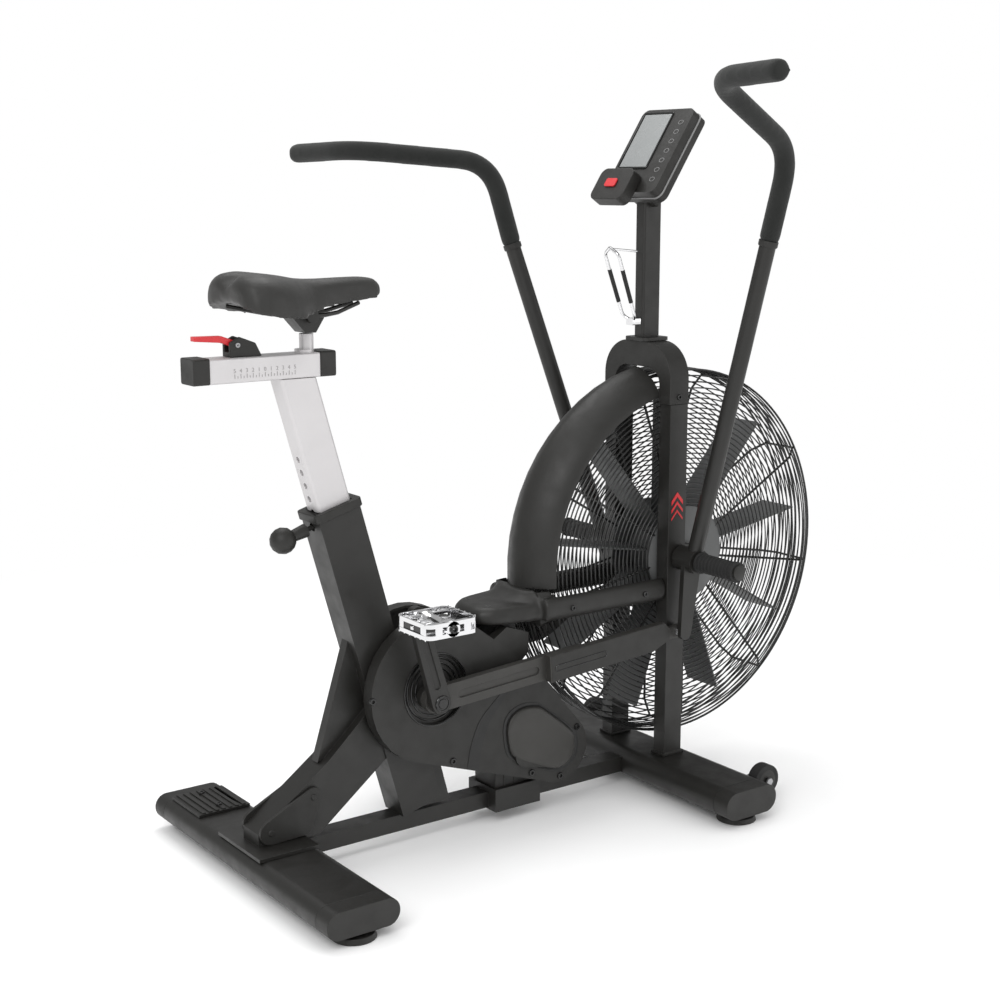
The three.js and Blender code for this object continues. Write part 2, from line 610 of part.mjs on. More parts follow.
function addFender() {
  const { outer, inner, halfWidth, wall } = FENDER;
  const half = [[inner, halfWidth], [outer - 36, halfWidth - 2], [outer - 20, halfWidth - 16],
    [outer - 7, halfWidth - 36], [outer, halfWidth - 54]];
  const back = half.map(([r, y]) => [r === inner ? r : r - wall, y - wall]).reverse();
  const mirror = (list) => list.map(([r, y]) => [r, -y]);
  const outline = [...half, ...mirror(half).reverse(), ...mirror(back).reverse(), ...back, half[0]];
  const rimLine = outline.reverse();
  const ring = new THREE.LatheGeometry(rimLine.map(([r, y]) => new THREE.Vector2(r, y)), 54);
  ring.translate(FAN.x, 0, FAN.z);
  const sector = box([400, ARCH.rear - GAP], [-90, 90], [FENDER.bottom, 900]);
  add('fender', 'plastic', common(ring, sector));
}

// ---------------------------------------------------------------- fork, arch and shoulder

function addFork() {
  const { x, halfDepth, inner, outer, top } = FORK;
  for (const [side, sign] of SIDES) {
    const leg = box([x - halfDepth, x + halfDepth], span(sign, inner, outer), [FEET.front.top + GAP, top]);
    const footTop = FEET.front.top;
    const base = box([x - 24, x + 24], span(sign, inner - 3, outer + 3), [footTop + GAP, footTop + 6]);
    const dropoutOutline = beltOutline([[x + 6, FAN.z, 26], [FAN.x, FAN.z, 20]], 20);
    const dropout = plateY(dropoutOutline, span(sign, inner, inner + 8));
    const stub = rodY(LEVER.x, LEVER.z, 9, span(sign, outer - 2, 139), 16);
    const axleHole = rodY(FAN.x, FAN.z, 6, [-90, 90], 16);
    add(`fork_leg_${side}`, 'paint', cut(join(leg, base, dropout, stub), axleHole));
  }
}

function addArch() {
  const { rear, front, halfWidth, inner, top, innerTop } = ARCH;
  const outside = roundedRectangle([-halfWidth, halfWidth], [FORK.top - 100, top], 62);
  const hollow = roundedRectangle([-inner, inner], [FORK.top - 140, innerTop], 30);
  const below = box([600, 900], [-200, 200], [400, FORK.top + GAP]);
  const shell = cut(plateX(outside, [rear, front], 8), plateX(hollow, [rear - 10, front + 10], 6), below);
  add('fork_arch', 'plastic', shell);
}

function addShoulder() {
  const plate = plateZ(roundedRectangle([374, 562], [-64, 64], 34), [354, 380]);
  const skirt = plateZ(roundedRectangle([440, 566], [-70, 70], 26), [354, 394]);
  const guardRoom = rodY(FAN.x, FAN.z, FAN.rim + 6, [-60, 60], 54);
  const collar = plateZ(roundedRectangle([466, 540], [-66, 66], 26), [390, 410]);
  const fenderRoom = new THREE.CylinderGeometry(FENDER.outer + 1, FENDER.outer + 1, 129, 54);
  fenderRoom.translate(FAN.x, 0, FAN.z);
  const fenderBox = common(fenderRoom, box([400, 600], [-90, 90], [FENDER.bottom - GAP, 500]));
  const arms = SIDES.map(([, sign]) => plateY(
    roundedRectangle([500, FORK.x - FORK.halfDepth - GAP], [352, 392], 8),
    span(sign, 61, 86),
  ));
  add('shoulder_cover', 'plastic', cut(join(plate, skirt, collar, ...arms), guardRoom, fenderBox));
}

// ---------------------------------------------------------------- arm levers

function addLever(side, sign, swing) {
  const lever = tipped(LEVER.x, LEVER.z, swing);
  const [foot, ...rest] = LEVER_BENDS.map(([x, y, z]) => [x, sign * y, z]);
  const base = new THREE.Vector3(0, sign * LEVER.y, 0);
  const end = new THREE.Vector3(...foot);
  const tube = sweep(new THREE.LineCurve3(base, end), LEVER.tube, 1, 16);
  const hub = rodY(0, 0, 22, span(sign, 90, 137.5), 24);
  const arm = plateY(beltOutline([[0, 0, 20], [0, -130, 12]], 16), span(sign, 112, 122));
  const bore = rodY(0, 0, 9 + GAP, span(sign, 80, 142), 16);
  add(`lever_${side}`, 'paint', cut(join(tube, hub, arm), bore), lever);

  const start = end.clone().lerp(base, -2.5 / end.distanceTo(base));
  const path = roundedPath([start.toArray(), ...rest], 58);
  add(`grip_${side}`, 'foam', sweep(path, LEVER.foam, 17, 12), lever);
  const flange = rodY(0, 0, 19, span(sign, 142, 147), 20);
  const peg = rodY(0, 0, 15.5, span(sign, 146, 230), 20);
  const rim = rodY(0, 0, 18, span(sign, 226, 233), 20);
  const mesh = add(`foot_peg_${side}`, 'rubber', join(flange, peg, rim));
  mesh.position.set(LEVER.x, 0, LEVER.z);
}

// ---------------------------------------------------------------- console

function addConsole() {
  const { x, depth, width, bottom, top } = MAST;
  const outline = roundedRectangle([x - depth / 2, x + depth / 2], [-width / 2, width / 2], 5);
  const flange = plateZ(roundedRectangle([x - 28, x + 28], [-30, 30], 10), [bottom - GAP, bottom + 6]);
  const head = tipped(CONSOLE.x, CONSOLE.z, CONSOLE.tilt);
  const { width: wide, length, thickness } = CONSOLE;
  const caseOutline = roundedRectangle([-wide / 2, wide / 2], [-length / 2, length / 2], 14);
  const cased = plateX(caseOutline, [-6, thickness - 6]);
  const socket = plateX(roundedRectangle([-30, 30], [-80, 10], 10), [thickness - 8, thickness + 14]);
  const screenRoom = box([-8, -3.5], [-14, 56], [-34, 74]);
  const mastRoomOutline = roundedRectangle([x - depth / 2 - GAP, x + depth / 2 + GAP], [-12.5, 12.5], 5);
  const mastRoom = plateZ(mastRoomOutline, [900, top + GAP]);
  mastRoom.translate(-CONSOLE.x, 0, -CONSOLE.z).rotateY(rad(-CONSOLE.tilt));
  add('console_body', 'plastic', cut(join(cased, socket), screenRoom, mastRoom), head);
  add('console_screen', 'screen', box([-7, -3.5 - GAP], [-13.5, 55.5], [-33.5, 73.5]), head);
  const pod = plateX(roundedRectangle([-20, 66], [-112, -50], 14), [-28, -6 - GAP]);
  add('console_pod', 'plastic', pod, head);
  add('console_key_red', 'red', plateX(roundedRectangle([10, 38], [-88, -72], 4), [-31, -28 - GAP]), head);
  add('console_mast', 'paint', join(flange, plateZ(outline, [bottom, top])));
}

function addBottleCage() {
  const mastRear = MAST.x - MAST.depth / 2;
  const loops = SIDES.map(([, sign]) => {
    const points = [
      [mastRear - 12, 0, 838],
      [mastRear - 22, sign * 16, 848],
      [mastRear - 62, sign * 18, 955],
      [mastRear - 66, 0, 966],
    ];
    return sweep(roundedPath(points, 6), 3, 9, 6);
  });
  const rod = sweep(new THREE.LineCurve3(
    new THREE.Vector3(mastRear - GAP, 0, 958),
    new THREE.Vector3(mastRear - 64, 0, 964),
  ), 2.5, 1, 8);
  const foot = box([mastRear - 20, mastRear - GAP], [-9, 9], [832, 844]);
  add('bottle_cage', 'chrome', join(...loops, rod, foot));
}

// ---------------------------------------------------------------- assembly

addFoot('rear', FEET.rear);
addFoot('front', FEET.front);
addTreadCover();
for (const [side, sign] of SIDES) {
  addTransportWheel(side, sign);
}
addFrame();
addStrutShroud();
addSeat();
addSeatBeam();
addSaddle();
addCrank();
addChainCovers();
addJackshaft();
addFan();
addFender();
addFork();
addArch();
addShoulder();
addLever('right', -1, LEVER.rightSwing);
addLever('left', 1, LEVER.leftSwing);
addConsole();
addBottleCage();

const bounds = new THREE.Box3().setFromObject(bike, true);
bike.position.x = -(bounds.min.x + bounds.max.x) / 2;

export default bike;
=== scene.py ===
"""Looks for the air bike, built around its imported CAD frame. Metres, +X forward, +Y rider's left, +Z up."""
import json
import math

import bmesh
import bpy
from mathutils import Matrix, Vector


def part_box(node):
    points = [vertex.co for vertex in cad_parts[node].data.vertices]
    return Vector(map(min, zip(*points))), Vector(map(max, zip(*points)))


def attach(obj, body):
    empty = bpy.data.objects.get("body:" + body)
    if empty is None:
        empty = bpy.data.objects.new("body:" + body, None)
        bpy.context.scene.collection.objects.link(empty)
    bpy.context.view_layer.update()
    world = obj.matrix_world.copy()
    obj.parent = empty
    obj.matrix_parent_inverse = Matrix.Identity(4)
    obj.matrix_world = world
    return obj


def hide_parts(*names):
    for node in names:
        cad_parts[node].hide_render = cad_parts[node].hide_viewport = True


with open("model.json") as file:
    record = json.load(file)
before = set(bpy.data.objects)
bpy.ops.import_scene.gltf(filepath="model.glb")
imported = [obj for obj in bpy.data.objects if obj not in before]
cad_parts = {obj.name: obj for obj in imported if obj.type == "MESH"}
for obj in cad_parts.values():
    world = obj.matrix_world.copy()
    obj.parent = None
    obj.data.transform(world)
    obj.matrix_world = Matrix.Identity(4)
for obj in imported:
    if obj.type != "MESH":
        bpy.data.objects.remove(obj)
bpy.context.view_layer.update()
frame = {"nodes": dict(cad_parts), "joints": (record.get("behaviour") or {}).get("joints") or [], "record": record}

# ---------------------------------------------------------------- places taken from the frame

MM = 0.001
SIDES = (("right", -1), ("left", 1))
JOINTS = {joint["name"]: joint for joint in frame["joints"]}
SLOT_OF = {part["node"]: part["material_slot"] for part in frame["record"]["subparts"]}
FOOT_LOW, FOOT_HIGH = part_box("rear_foot_tube")
START_X = (FOOT_LOW.x + FOOT_HIGH.x) / 2


def at(x, y, z):
    """A point in millimetres measured from the floor under the rear foot's middle."""
    return Vector((START_X + x * MM, y * MM, z * MM))


def pivot(name):
    return Vector(JOINTS[name]["pos_m"])


def polar_xz(centre, radius, degrees, y):
    """A point round centre in the upright plane at y; all in metres but the angle."""
    angle = math.radians(degrees)
    return Vector((centre.x + radius * math.cos(angle), y, centre.z + radius * math.sin(angle)))


# ---------------------------------------------------------------- material building blocks

MATERIALS = {}
# Radius of the lightened edges, which are part rubbed wear and part painted highlight.
WEAR_AND_HIGHLIGHT_EDGE = 0.0012
BUMP_STRENGTH = 0.6


class Look:
    """One procedural material: base colour with variation, roughness variation, bump, and sharp edges lightened in
    patches, part rubbed wear and part painted highlight.
    """

    def __init__(self, name, color, roughness, metallic=0.0):
        self.material = bpy.data.materials.new(name)
        self.material.use_nodes = True
        self.nodes = self.material.node_tree.nodes
        self.links = self.material.node_tree.links
        self.shader = self.nodes["Principled BSDF"]
        self.shader.inputs["Metallic"].default_value = metallic
        self.color = color
        self.roughness = roughness
        self.position = self.nodes.new("ShaderNodeTexCoord").outputs["Object"]
        MATERIALS[name] = self.material

    def noise(self, scale, detail=4.0, stretch=None):
        place = self.position
        if stretch:
            mapping = self.nodes.new("ShaderNodeMapping")
            mapping.inputs["Scale"].default_value = stretch
            self.links.new(place, mapping.inputs["Vector"])
            place = mapping.outputs["Vector"]
        texture = self.nodes.new("ShaderNodeTexNoise")
        texture.inputs["Scale"].default_value = scale
        texture.inputs["Detail"].default_value = detail
        self.links.new(place, texture.inputs["Vector"])
        return texture.outputs["Fac"]

    def cells(self, scale, feature="F1"):
        texture = self.nodes.new("ShaderNodeTexVoronoi")
        texture.feature = feature
        texture.inputs["Scale"].default_value = scale
        self.links.new(self.position, texture.inputs["Vector"])
        return texture.outputs["Distance"]

    def mixed(self, factor, low, high):
        mix = self.nodes.new("ShaderNodeMix")
        mix.data_type = "RGBA"
        self.links.new(factor, mix.inputs["Factor"])
        for socket, value in (("A", low), ("B", high)):
            target = [s for s in mix.inputs if s.name == socket and s.type == "RGBA"][0]
            if isinstance(value, bpy.types.NodeSocket):
                self.links.new(value, target)
            else:
                target.default_value = (*value, 1.0)
        return [s for s in mix.outputs if s.type == "RGBA"][0]

    def ranged(self, factor, low, high, from_low=0.0, from_high=1.0):
        node = self.nodes.new("ShaderNodeMapRange")
        node.inputs["From Min"].default_value = from_low
        node.inputs["From Max"].default_value = from_high
        node.inputs["To Min"].default_value = low
        node.inputs["To Max"].default_value = high
        self.links.new(factor, node.inputs["Value"])
        return node.outputs["Result"]

    def edges(self, radius):
        """Near 1 along sharp edges and 0 on flats."""
        bevel = self.nodes.new("ShaderNodeBevel")
        bevel.samples = 3
        bevel.inputs["Radius"].default_value = radius
        normal = self.nodes.new("ShaderNodeNewGeometry").outputs["Normal"]
        dot = self.nodes.new("ShaderNodeVectorMath")
        dot.operation = "DOT_PRODUCT"
        self.links.new(bevel.outputs["Normal"], dot.inputs[0])
        self.links.new(normal, dot.inputs[1])
        return self.ranged(dot.outputs["Value"], 1.0, 0.0, 0.80, 0.99)

    def finish(self, bump_source, bump_height, variation=0.12, rough_spread=0.08, wear_and_highlight=0.0,
               wear_and_highlight_color=None):
        """Wires colour, roughness and bump; the edge amount lightens sharp edges towards a lighter edge colour,
        part rubbed wear and part painted highlight.
        """
        slow = self.noise(14.0, 3.0)
        dark = tuple(c * (1 - variation) for c in self.color)
        light = tuple(min(1.0, c * (1 + variation)) for c in self.color)
        color = self.mixed(slow, dark, light)
        # Painted highlight mixed with rubbed wear: sharp edges drift towards a lighter copy of the colour, in
        # patches.
        if wear_and_highlight:
            mask = self.nodes.new("ShaderNodeMath")
            mask.operation = "MULTIPLY"
            self.links.new(self.edges(WEAR_AND_HIGHLIGHT_EDGE), mask.inputs[0])
            self.links.new(self.ranged(self.noise(90.0), 0.0, wear_and_highlight, 0.35, 0.7), mask.inputs[1])
            color = self.mixed(mask.outputs["Value"], color, wear_and_highlight_color)
        self.links.new(color, self.shader.inputs["Base Color"])
        rough = self.ranged(
            self.noise(38.0), self.roughness - rough_spread, self.roughness + rough_spread, 0.3, 0.7
        )
        self.links.new(rough, self.shader.inputs["Roughness"])
        bump = self.nodes.new("ShaderNodeBump")
        bump.inputs["Distance"].default_value = bump_height
        bump.inputs["Strength"].default_value = BUMP_STRENGTH
        self.links.new(bump_source, bump.inputs["Height"])
        self.links.new(bump.outputs["Normal"], self.shader.inputs["Normal"])
        return self

    def set(self, **values):
        for name, value in values.items():
            self.shader.inputs[name.replace("_", " ")].default_value = value
        return self


def make_materials():
    # The lighter edge colours given below paint a highlight on sharp edges as well as rubbed wear.
    paint = Look("paint", (0.0132, 0.0127, 0.0113), 0.42)
    paint.finish(paint.noise(950.0, 2.0), 0.00012, wear_and_highlight=0.35, wear_and_highlight_color=(0.075, 0.073, 0.068))
    plastic = Look("plastic", (0.0138, 0.0133, 0.0118), 0.50)
    plastic.finish(plastic.cells(1500.0), 0.00010, wear_and_highlight=0.25, wear_and_highlight_color=(0.07, 0.068, 0.063))
    cover = Look("cover", (0.0320, 0.0308, 0.0280), 0.46)
    cover.finish(cover.cells(1300.0), 0.00010, wear_and_highlight=0.4, wear_and_highlight_color=(0.13, 0.125, 0.12))
    silver = Look("silver", (0.60, 0.585, 0.59), 0.38, 0.45)
    silver.finish(silver.noise(240.0, 3.0, (0.05, 1.0, 1.0)), 0.00005, 0.05, 0.07, 0.2, (0.85, 0.85, 0.85))
    chrome = Look("chrome", (0.82, 0.82, 0.83), 0.12, 1.0)
    chrome.finish(chrome.noise(160.0), 0.00003, 0.04, 0.05)
    steel = Look("steel", (0.42, 0.42, 0.43), 0.34, 0.95)
    steel.finish(steel.noise(420.0), 0.00006, 0.12, 0.10, 0.2, (0.62, 0.62, 0.62))
    red = Look("red", (0.56, 0.022, 0.028), 0.34)
    red.finish(red.noise(800.0), 0.00005, 0.06, 0.06, 0.2, (0.75, 0.15, 0.15))
    rubber = Look("rubber", (0.014, 0.014, 0.0138), 0.74)
    rubber.finish(rubber.cells(900.0), 0.00014, 0.15, 0.08)
    wire = Look("wire", (0.012, 0.012, 0.0115), 0.30)
    wire.finish(wire.noise(600.0), 0.00005, 0.10, 0.06)
    blade = Look("blade", (0.085, 0.087, 0.087), 0.50)
    blade.finish(blade.noise(700.0), 0.00010, 0.12, 0.08, 0.3, (0.24, 0.24, 0.24))
    foam = Look("foam", (0.0105, 0.0115, 0.0105), 0.92)
    foam.finish(foam.cells(1100.0), 0.00035, 0.2, 0.05).set(Sheen_Weight=0.12)
    leather = Look("leather", (0.0175, 0.0170, 0.0155), 0.50)
    leather.finish(leather.cells(620.0, "DISTANCE_TO_EDGE"), 0.00028, 0.14, 0.09).set(Sheen_Weight=0.06)
    screen = Look("screen", (0.235, 0.245, 0.245), 0.26)
    screen.finish(screen.noise(900.0), 0.00002, 0.07, 0.04).set(Coat_Weight=0.6)
    ink = Look("ink", (0.30, 0.29, 0.29), 0.6)
    ink.finish(ink.noise(1200.0), 0.00002, 0.1, 0.05)
    band = Look("band", (0.0105, 0.0105, 0.0102), 0.5)
    band.finish(band.noise(700.0), 0.00005, 0.1, 0.06)
    gloss = Look("gloss", (0.012, 0.012, 0.0118), 0.16)
    gloss.finish(gloss.noise(300.0), 0.00003, 0.1, 0.05)
    trim = Look("trim", (0.20, 0.20, 0.20), 0.38)
    trim.finish(trim.noise(800.0), 0.00005, 0.08, 0.06)


# ---------------------------------------------------------------- mesh pieces


SHARP_FROM = 38
BEVEL_FROM = 32
FLAT_WITHIN = 0.6
WELD_WITHIN = 0.00002


class Piece:
    """Collects closed shells in the row frame and turns them into one object riding on a body."""

    def __init__(self):
        self.points = []
        self.faces = []

    def rings(self, rings, closed=False):
        """Joins rings of equal count; open runs get flat ends."""
        count = len(rings[0])
        base = len(self.points)
        for ring in rings:
            self.points += ring
        steps = len(rings) if closed else len(rings) - 1
        for r in range(steps):
            low = base + r * count
            high = base + ((r + 1) % len(rings)) * count
            for i in range(count):
                j = (i + 1) % count
                self.faces.append((low + i, low + j, high + j, high + i))
        if not closed:
            self.faces.append(tuple(base + i for i in reversed(range(count))))
            last = base + (len(rings) - 1) * count
            self.faces.append(tuple(last + i for i in range(count)))
        return self

    def tube(self, path, radius, sides=8, closed=False):
        """A round wire along path; radius is one number or one per point."""
        count = len(path)
        radii = radius if isinstance(radius, list) else [radius] * count
        rings = []
        across = None
        for i, point in enumerate(path):
            before = path[i - 1] if (i or closed) else path[i]
            after = path[(i + 1) % count] if (i < count - 1 or closed) else path[i]
            along = (after - before).normalized()
            guess = across if across is not None else along.orthogonal()
            across = (guess - along * guess.dot(along)).normalized()
            other = along.cross(across)
            rings.append([
                point + (across * math.cos(t) + other * math.sin(t)) * radii[i]
                for t in angles(sides)
            ])
        return self.rings(rings, closed)

    def lathe(self, profile, centre, axis, sides=40):
        """Turns (radius, height) pairs round axis. A profile off the axis at both ends closes on itself."""
        axis = Vector(axis).normalized()
        across = axis.orthogonal().normalized()
        other = axis.cross(across)
        ringed = [
            [
                centre + axis * h + (across * math.cos(t) + other * math.sin(t)) * max(r, 1e-5)
                for t in angles(sides)
            ]
            for r, h in profile
        ]
        hollow = profile[0][0] > 1e-4 and profile[-1][0] > 1e-4
        return self.rings(ringed, closed=hollow)

    def slab(self, outline, origin, u, v, thickness, bevel=0.0):
        """An outline of (a, b) pairs in the plane of u and v, raised along u x v, with a chamfered top."""
        u, v = Vector(u), Vector(v)
        up = u.cross(v).normalized()
        middle = [sum(p[k] for p in outline) / len(outline) for k in (0, 1)]
        reach = max(math.dist(p, middle) for p in outline)
        shrink = 1 - bevel / reach if bevel else 1.0

        def ring(scale, height):
            return [
                origin + u * (middle[0] + (a - middle[0]) * scale)
                + v * (middle[1] + (b - middle[1]) * scale) + up * height
                for a, b in outline
            ]

        levels = [ring(1.0, 0.0), ring(1.0, thickness - bevel)]
        if bevel:
            levels.append(ring(shrink, thickness))
        return self.rings(levels)

    def make(self, name, look, body, smooth=True):
        mesh = bpy.data.meshes.new(name)
        mesh.from_pydata([tuple(p) for p in self.points], [], self.faces)
        mesh.validate()
        made = bpy.data.objects.new(name, mesh)
        bpy.context.scene.collection.objects.link(made)
        mesh.materials.append(MATERIALS[look])
        recalculate_normals(mesh)
        if smooth:
            mesh.shade_smooth()
            mesh.set_sharp_from_angle(angle=math.radians(SHARP_FROM))
        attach(made, body)
        return made


def recalculate_normals(mesh):
    work = bmesh.new()
    work.from_mesh(mesh)
    bmesh.ops.recalc_face_normals(work, faces=work.faces)
    work.to_mesh(mesh)
    work.free()


def soften(piece, width):
    """Rounds a hard-edged piece's corners for real, without touching its own mesh."""
    weld = piece.modifiers.new("weld", "WELD")
    weld.merge_threshold = WELD_WITHIN
    flat = piece.modifiers.new("flatten", "DECIMATE")
    flat.decimate_type = "DISSOLVE"
    flat.angle_limit = math.radians(FLAT_WITHIN)
    bevel = piece.modifiers.new("bevel", "BEVEL")
    bevel.width = width
    bevel.segments = 2
    bevel.limit_method = "ANGLE"
    bevel.angle_limit = math.radians(BEVEL_FROM)
    bevel.miter_outer = "MITER_ARC"
    bevel.use_clamp_overlap = True
    piece.modifiers.new("normals", "WEIGHTED_NORMAL").keep_sharp = False


def angles(count):
    """Evenly spaced angles round a full turn, in radians."""
    return [math.tau * i / count for i in range(count)]


def circle(radius, sides):
    return [(radius * math.cos(t), radius * math.sin(t)) for t in angles(sides)]


def stadium(length, radius, sides=10):
    """A long rounded outline centred on the origin, along the first axis."""
    half = length / 2 - radius
    right = [(half + radius * math.cos(t), radius * math.sin(t))
             for t in (-math.pi / 2 + math.pi * i / sides for i in range(sides + 1))]
    return right + [(-a, -b) for a, b in right]


def rounded(width, height, radius, steps=5):
    """A rounded rectangle centred on the origin."""
    corners = ((1, 1, 0), (-1, 1, 90), (-1, -1, 180), (1, -1, 270))
    outline = []
    for sx, sy, start in corners:
        for i in range(steps + 1):
            angle = math.radians(start + 90 * i / steps)
            a = sx * (width / 2 - radius) + radius * math.cos(angle)
            outline.append((a, sy * (height / 2 - radius) + radius * math.sin(angle)))
    return outline


def smooth_path(points, radius, steps=8):
    """A polyline with its corners rounded, as a list of points."""
    path = [points[0]]
    for before, corner, after in zip(points, points[1:], points[2:]):
        enter = corner.lerp(before, radius / (corner - before).length)
        leave = corner.lerp(after, radius / (corner - after).length)
        for i in range(steps + 1):
            t = i / steps
            path.append(enter * (1 - t) ** 2 + corner * 2 * t * (1 - t) + leave * t * t)
    path.append(points[-1])
    return path


def even_path(path, step):
    """The same path with extra points so that no gap is longer than step."""
    dense = [path[0]]
    for a, b in zip(path, path[1:]):
        count = max(1, math.ceil((b - a).length / step))
        dense += [a.lerp(b, i / count) for i in range(1, count + 1)]
    return dense


# ---------------------------------------------------------------- CAD nodes get their finish

SOFT_EDGE = {"paint": 0.0012, "plastic": 0.0014, "cover": 0.0016, "silver": 0.0010, "rubber": 0.0010}
SOFT_EDGE_OTHER = 0.0006


def dress_cad():
    for name, node in frame["nodes"].items():
        slot = SLOT_OF[name]
        node.data.materials.clear()
        node.data.materials.append(MATERIALS[slot])
        for polygon in node.data.polygons:
            polygon.use_smooth = True
        soften(node, SOFT_EDGE.get(slot, SOFT_EDGE_OTHER))


# ---------------------------------------------------------------- wire guards

GUARD = {"face": 55, "ring_in": 92, "ring_out": 298, "rim": 329, "rim_y": 38, "rings": 24, "wire": 1.3}
# The fender covers the rim between these angles, in degrees.
FENDER_CUT = (103.5, 183.0)
SPOKES = 9
SPOKE_STEP = 360 // SPOKES
SPOKE_RADIUS = 2.2
RING_SIDES = 96
THICK_WIRE = 1.6


def guard_ring(piece, centre, radius, y, wire, cut):
    """One wire ring in millimetres; a cut ring stops at the fender's edges."""
    if not cut:
        path = [polar_xz(centre, radius * MM, 360 * i / RING_SIDES, y * MM) for i in range(RING_SIDES)]
        piece.tube(path, wire * MM, 6, closed=True)
        return
    low, high = FENDER_CUT[1], FENDER_CUT[0] + 360
    path = [
        polar_xz(centre, radius * MM, low + (high - low) * i / RING_SIDES, y * MM)
        for i in range(RING_SIDES + 1)
    ]
    piece.tube(path, wire * MM, 6)


def build_guards():
    centre = pivot("fan_spin")
    g = GUARD
    for side, sign in SIDES:
        wires = Piece()
        for i in range(g["rings"]):
            radius = g["ring_in"] + (g["ring_out"] - g["ring_in"]) * i / (g["rings"] - 1)
            guard_ring(wires, centre, radius, sign * (g["face"] - 1.4), g["wire"], False)
        for share in (0.33, 0.67, 1.0):
            radius = g["ring_out"] + (g["rim"] - g["ring_out"]) * share
            y = g["face"] - (g["face"] - g["rim_y"]) * share
            thick = THICK_WIRE if share == 1.0 else 1
            guard_ring(wires, centre, radius, sign * (y - 1.4), g["wire"] * thick, True)
        for y in (27, 16, 5):
            thick = THICK_WIRE if y == 5 else 1
            guard_ring(wires, centre, g["rim"], sign * y, g["wire"] * thick, True)
        for i in range(SPOKES):
            degrees = -90 + SPOKE_STEP * i
            clear = not FENDER_CUT[0] - 2 < degrees % 360 < FENDER_CUT[1] + 2
            inner = [(78, g["face"] - 4), (g["ring_out"], g["face"] - 4)]
            outer = [(g["rim"] - 2.4, g["rim_y"] - 3), (g["rim"] - 2.4, 4)] if clear else []
            path = [polar_xz(centre, r * MM, degrees, sign * y * MM) for r, y in inner + outer]
            wires.tube(path, SPOKE_RADIUS * MM, 8)
        guard = wires.make(f"wire_guard_{side}", "wire", "frame")
        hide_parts(f"fan_guard_{side}")
        hub = Piece()
        profile = [(14, 48), (14, 53.5), (30, 56), (60, 55.5), (80, 54), (86, 52), (86, 49), (60, 49.5)]
        middle = Vector((centre.x, 0, centre.z))
        hub.lathe([(r * MM, h * MM) for r, h in profile], middle, (0, sign, 0), 64)
        hub.make(f"guard_hub_{side}", "blade", "frame")


# ---------------------------------------------------------------- soft parts

# Each row: x, half width, crown rise and hanging skirt in millimetres, then the share of the rise
# that the channel along the middle takes away.
SADDLE_STATIONS = (
    (-50, 44, 22, 10, 0.45), (-45, 62, 30, 16, 0.40), (-34, 76, 36, 22, 0.30), (-12, 84, 38, 26, 0.16),
    (10, 83, 35, 31, 0.08), (32, 76, 31, 34, 0.0), (50, 65, 27.5, 35, 0.0), (66, 54, 24.5, 32, 0.0),
    (84, 41, 23, 27, 0.0), (108, 34, 22.5, 21, 0.0), (145, 28, 23.5, 17, 0.0), (180, 25, 24, 14, 0.0),
    (204, 20, 22, 12, 0.0), (217, 12, 13, 8, 0.0),
)
# Height of the padding's base line above the saddle solid's lowest point.
SADDLE_BASE = 12
SOFT_VOXEL = 0.0045


def saddle_section(x, half, rise, skirt, channel, base):
    """A crown whose sides hang below a raised underside, as one closed ring."""
    ring = []
    for i in range(21):
        turn = math.pi * i / 20
        across = half * math.copysign(abs(math.cos(turn)) ** 0.72, math.cos(turn))
        dip = channel * math.exp(-((across / 17) ** 2))
        crown = math.sin(turn) ** 0.62
        ring.append(at(x, across, base - skirt + (rise * (1 - dip) + skirt) * crown))
    inner = half * 0.84
    for i in range(1, 12):
        across = -inner + 2 * inner * i / 12
        arch = math.sqrt(1 - (across / inner) ** 2)
        ring.append(at(x, across, base - skirt + (skirt - 3) * arch))
    return ring


def swell(piece, voxel, cap, steps=20):
    """Pads a closed form by a short cloth run; no point ends further than cap from its start."""
    bpy.context.view_layer.objects.active = piece
    remesh = piece.modifiers.new("remesh", "REMESH")
    remesh.mode = "VOXEL"
    remesh.voxel_size = voxel
    apply_all(piece)
    relax = piece.modifiers.new("relax", "SMOOTH")
    relax.iterations = 4
    relax.factor = 0.5
    apply_all(piece)
    start = [v.co.copy() for v in piece.data.vertices]
    cloth = piece.modifiers.new("cloth", "CLOTH")
    cloth.settings.use_pressure = True
    cloth.settings.uniform_pressure_force = 4.0
    cloth.settings.effector_weights.gravity = 0.0
    cloth.settings.tension_stiffness = 25.0
    cloth.settings.bending_stiffness = 4.0
    cloth.point_cache.frame_start = 1
    cloth.point_cache.frame_end = steps
    for number in range(1, steps + 1):
        bpy.context.scene.frame_set(number)
    apply_all(piece)
    for vertex, home in zip(piece.data.vertices, start):
        moved = vertex.co - home
        if moved.length > cap:
            vertex.co = home + moved.normalized() * cap
    bpy.context.scene.frame_set(1)
    subdivide = piece.modifiers.new("fine", "SUBSURF")
    subdivide.levels = subdivide.render_levels = 1
    piece.data.shade_smooth()


def apply_all(piece):
    graph = bpy.context.evaluated_depsgraph_get()
    mesh = bpy.data.meshes.new_from_object(piece.evaluated_get(graph))
    piece.modifiers.clear()
    piece.data = mesh


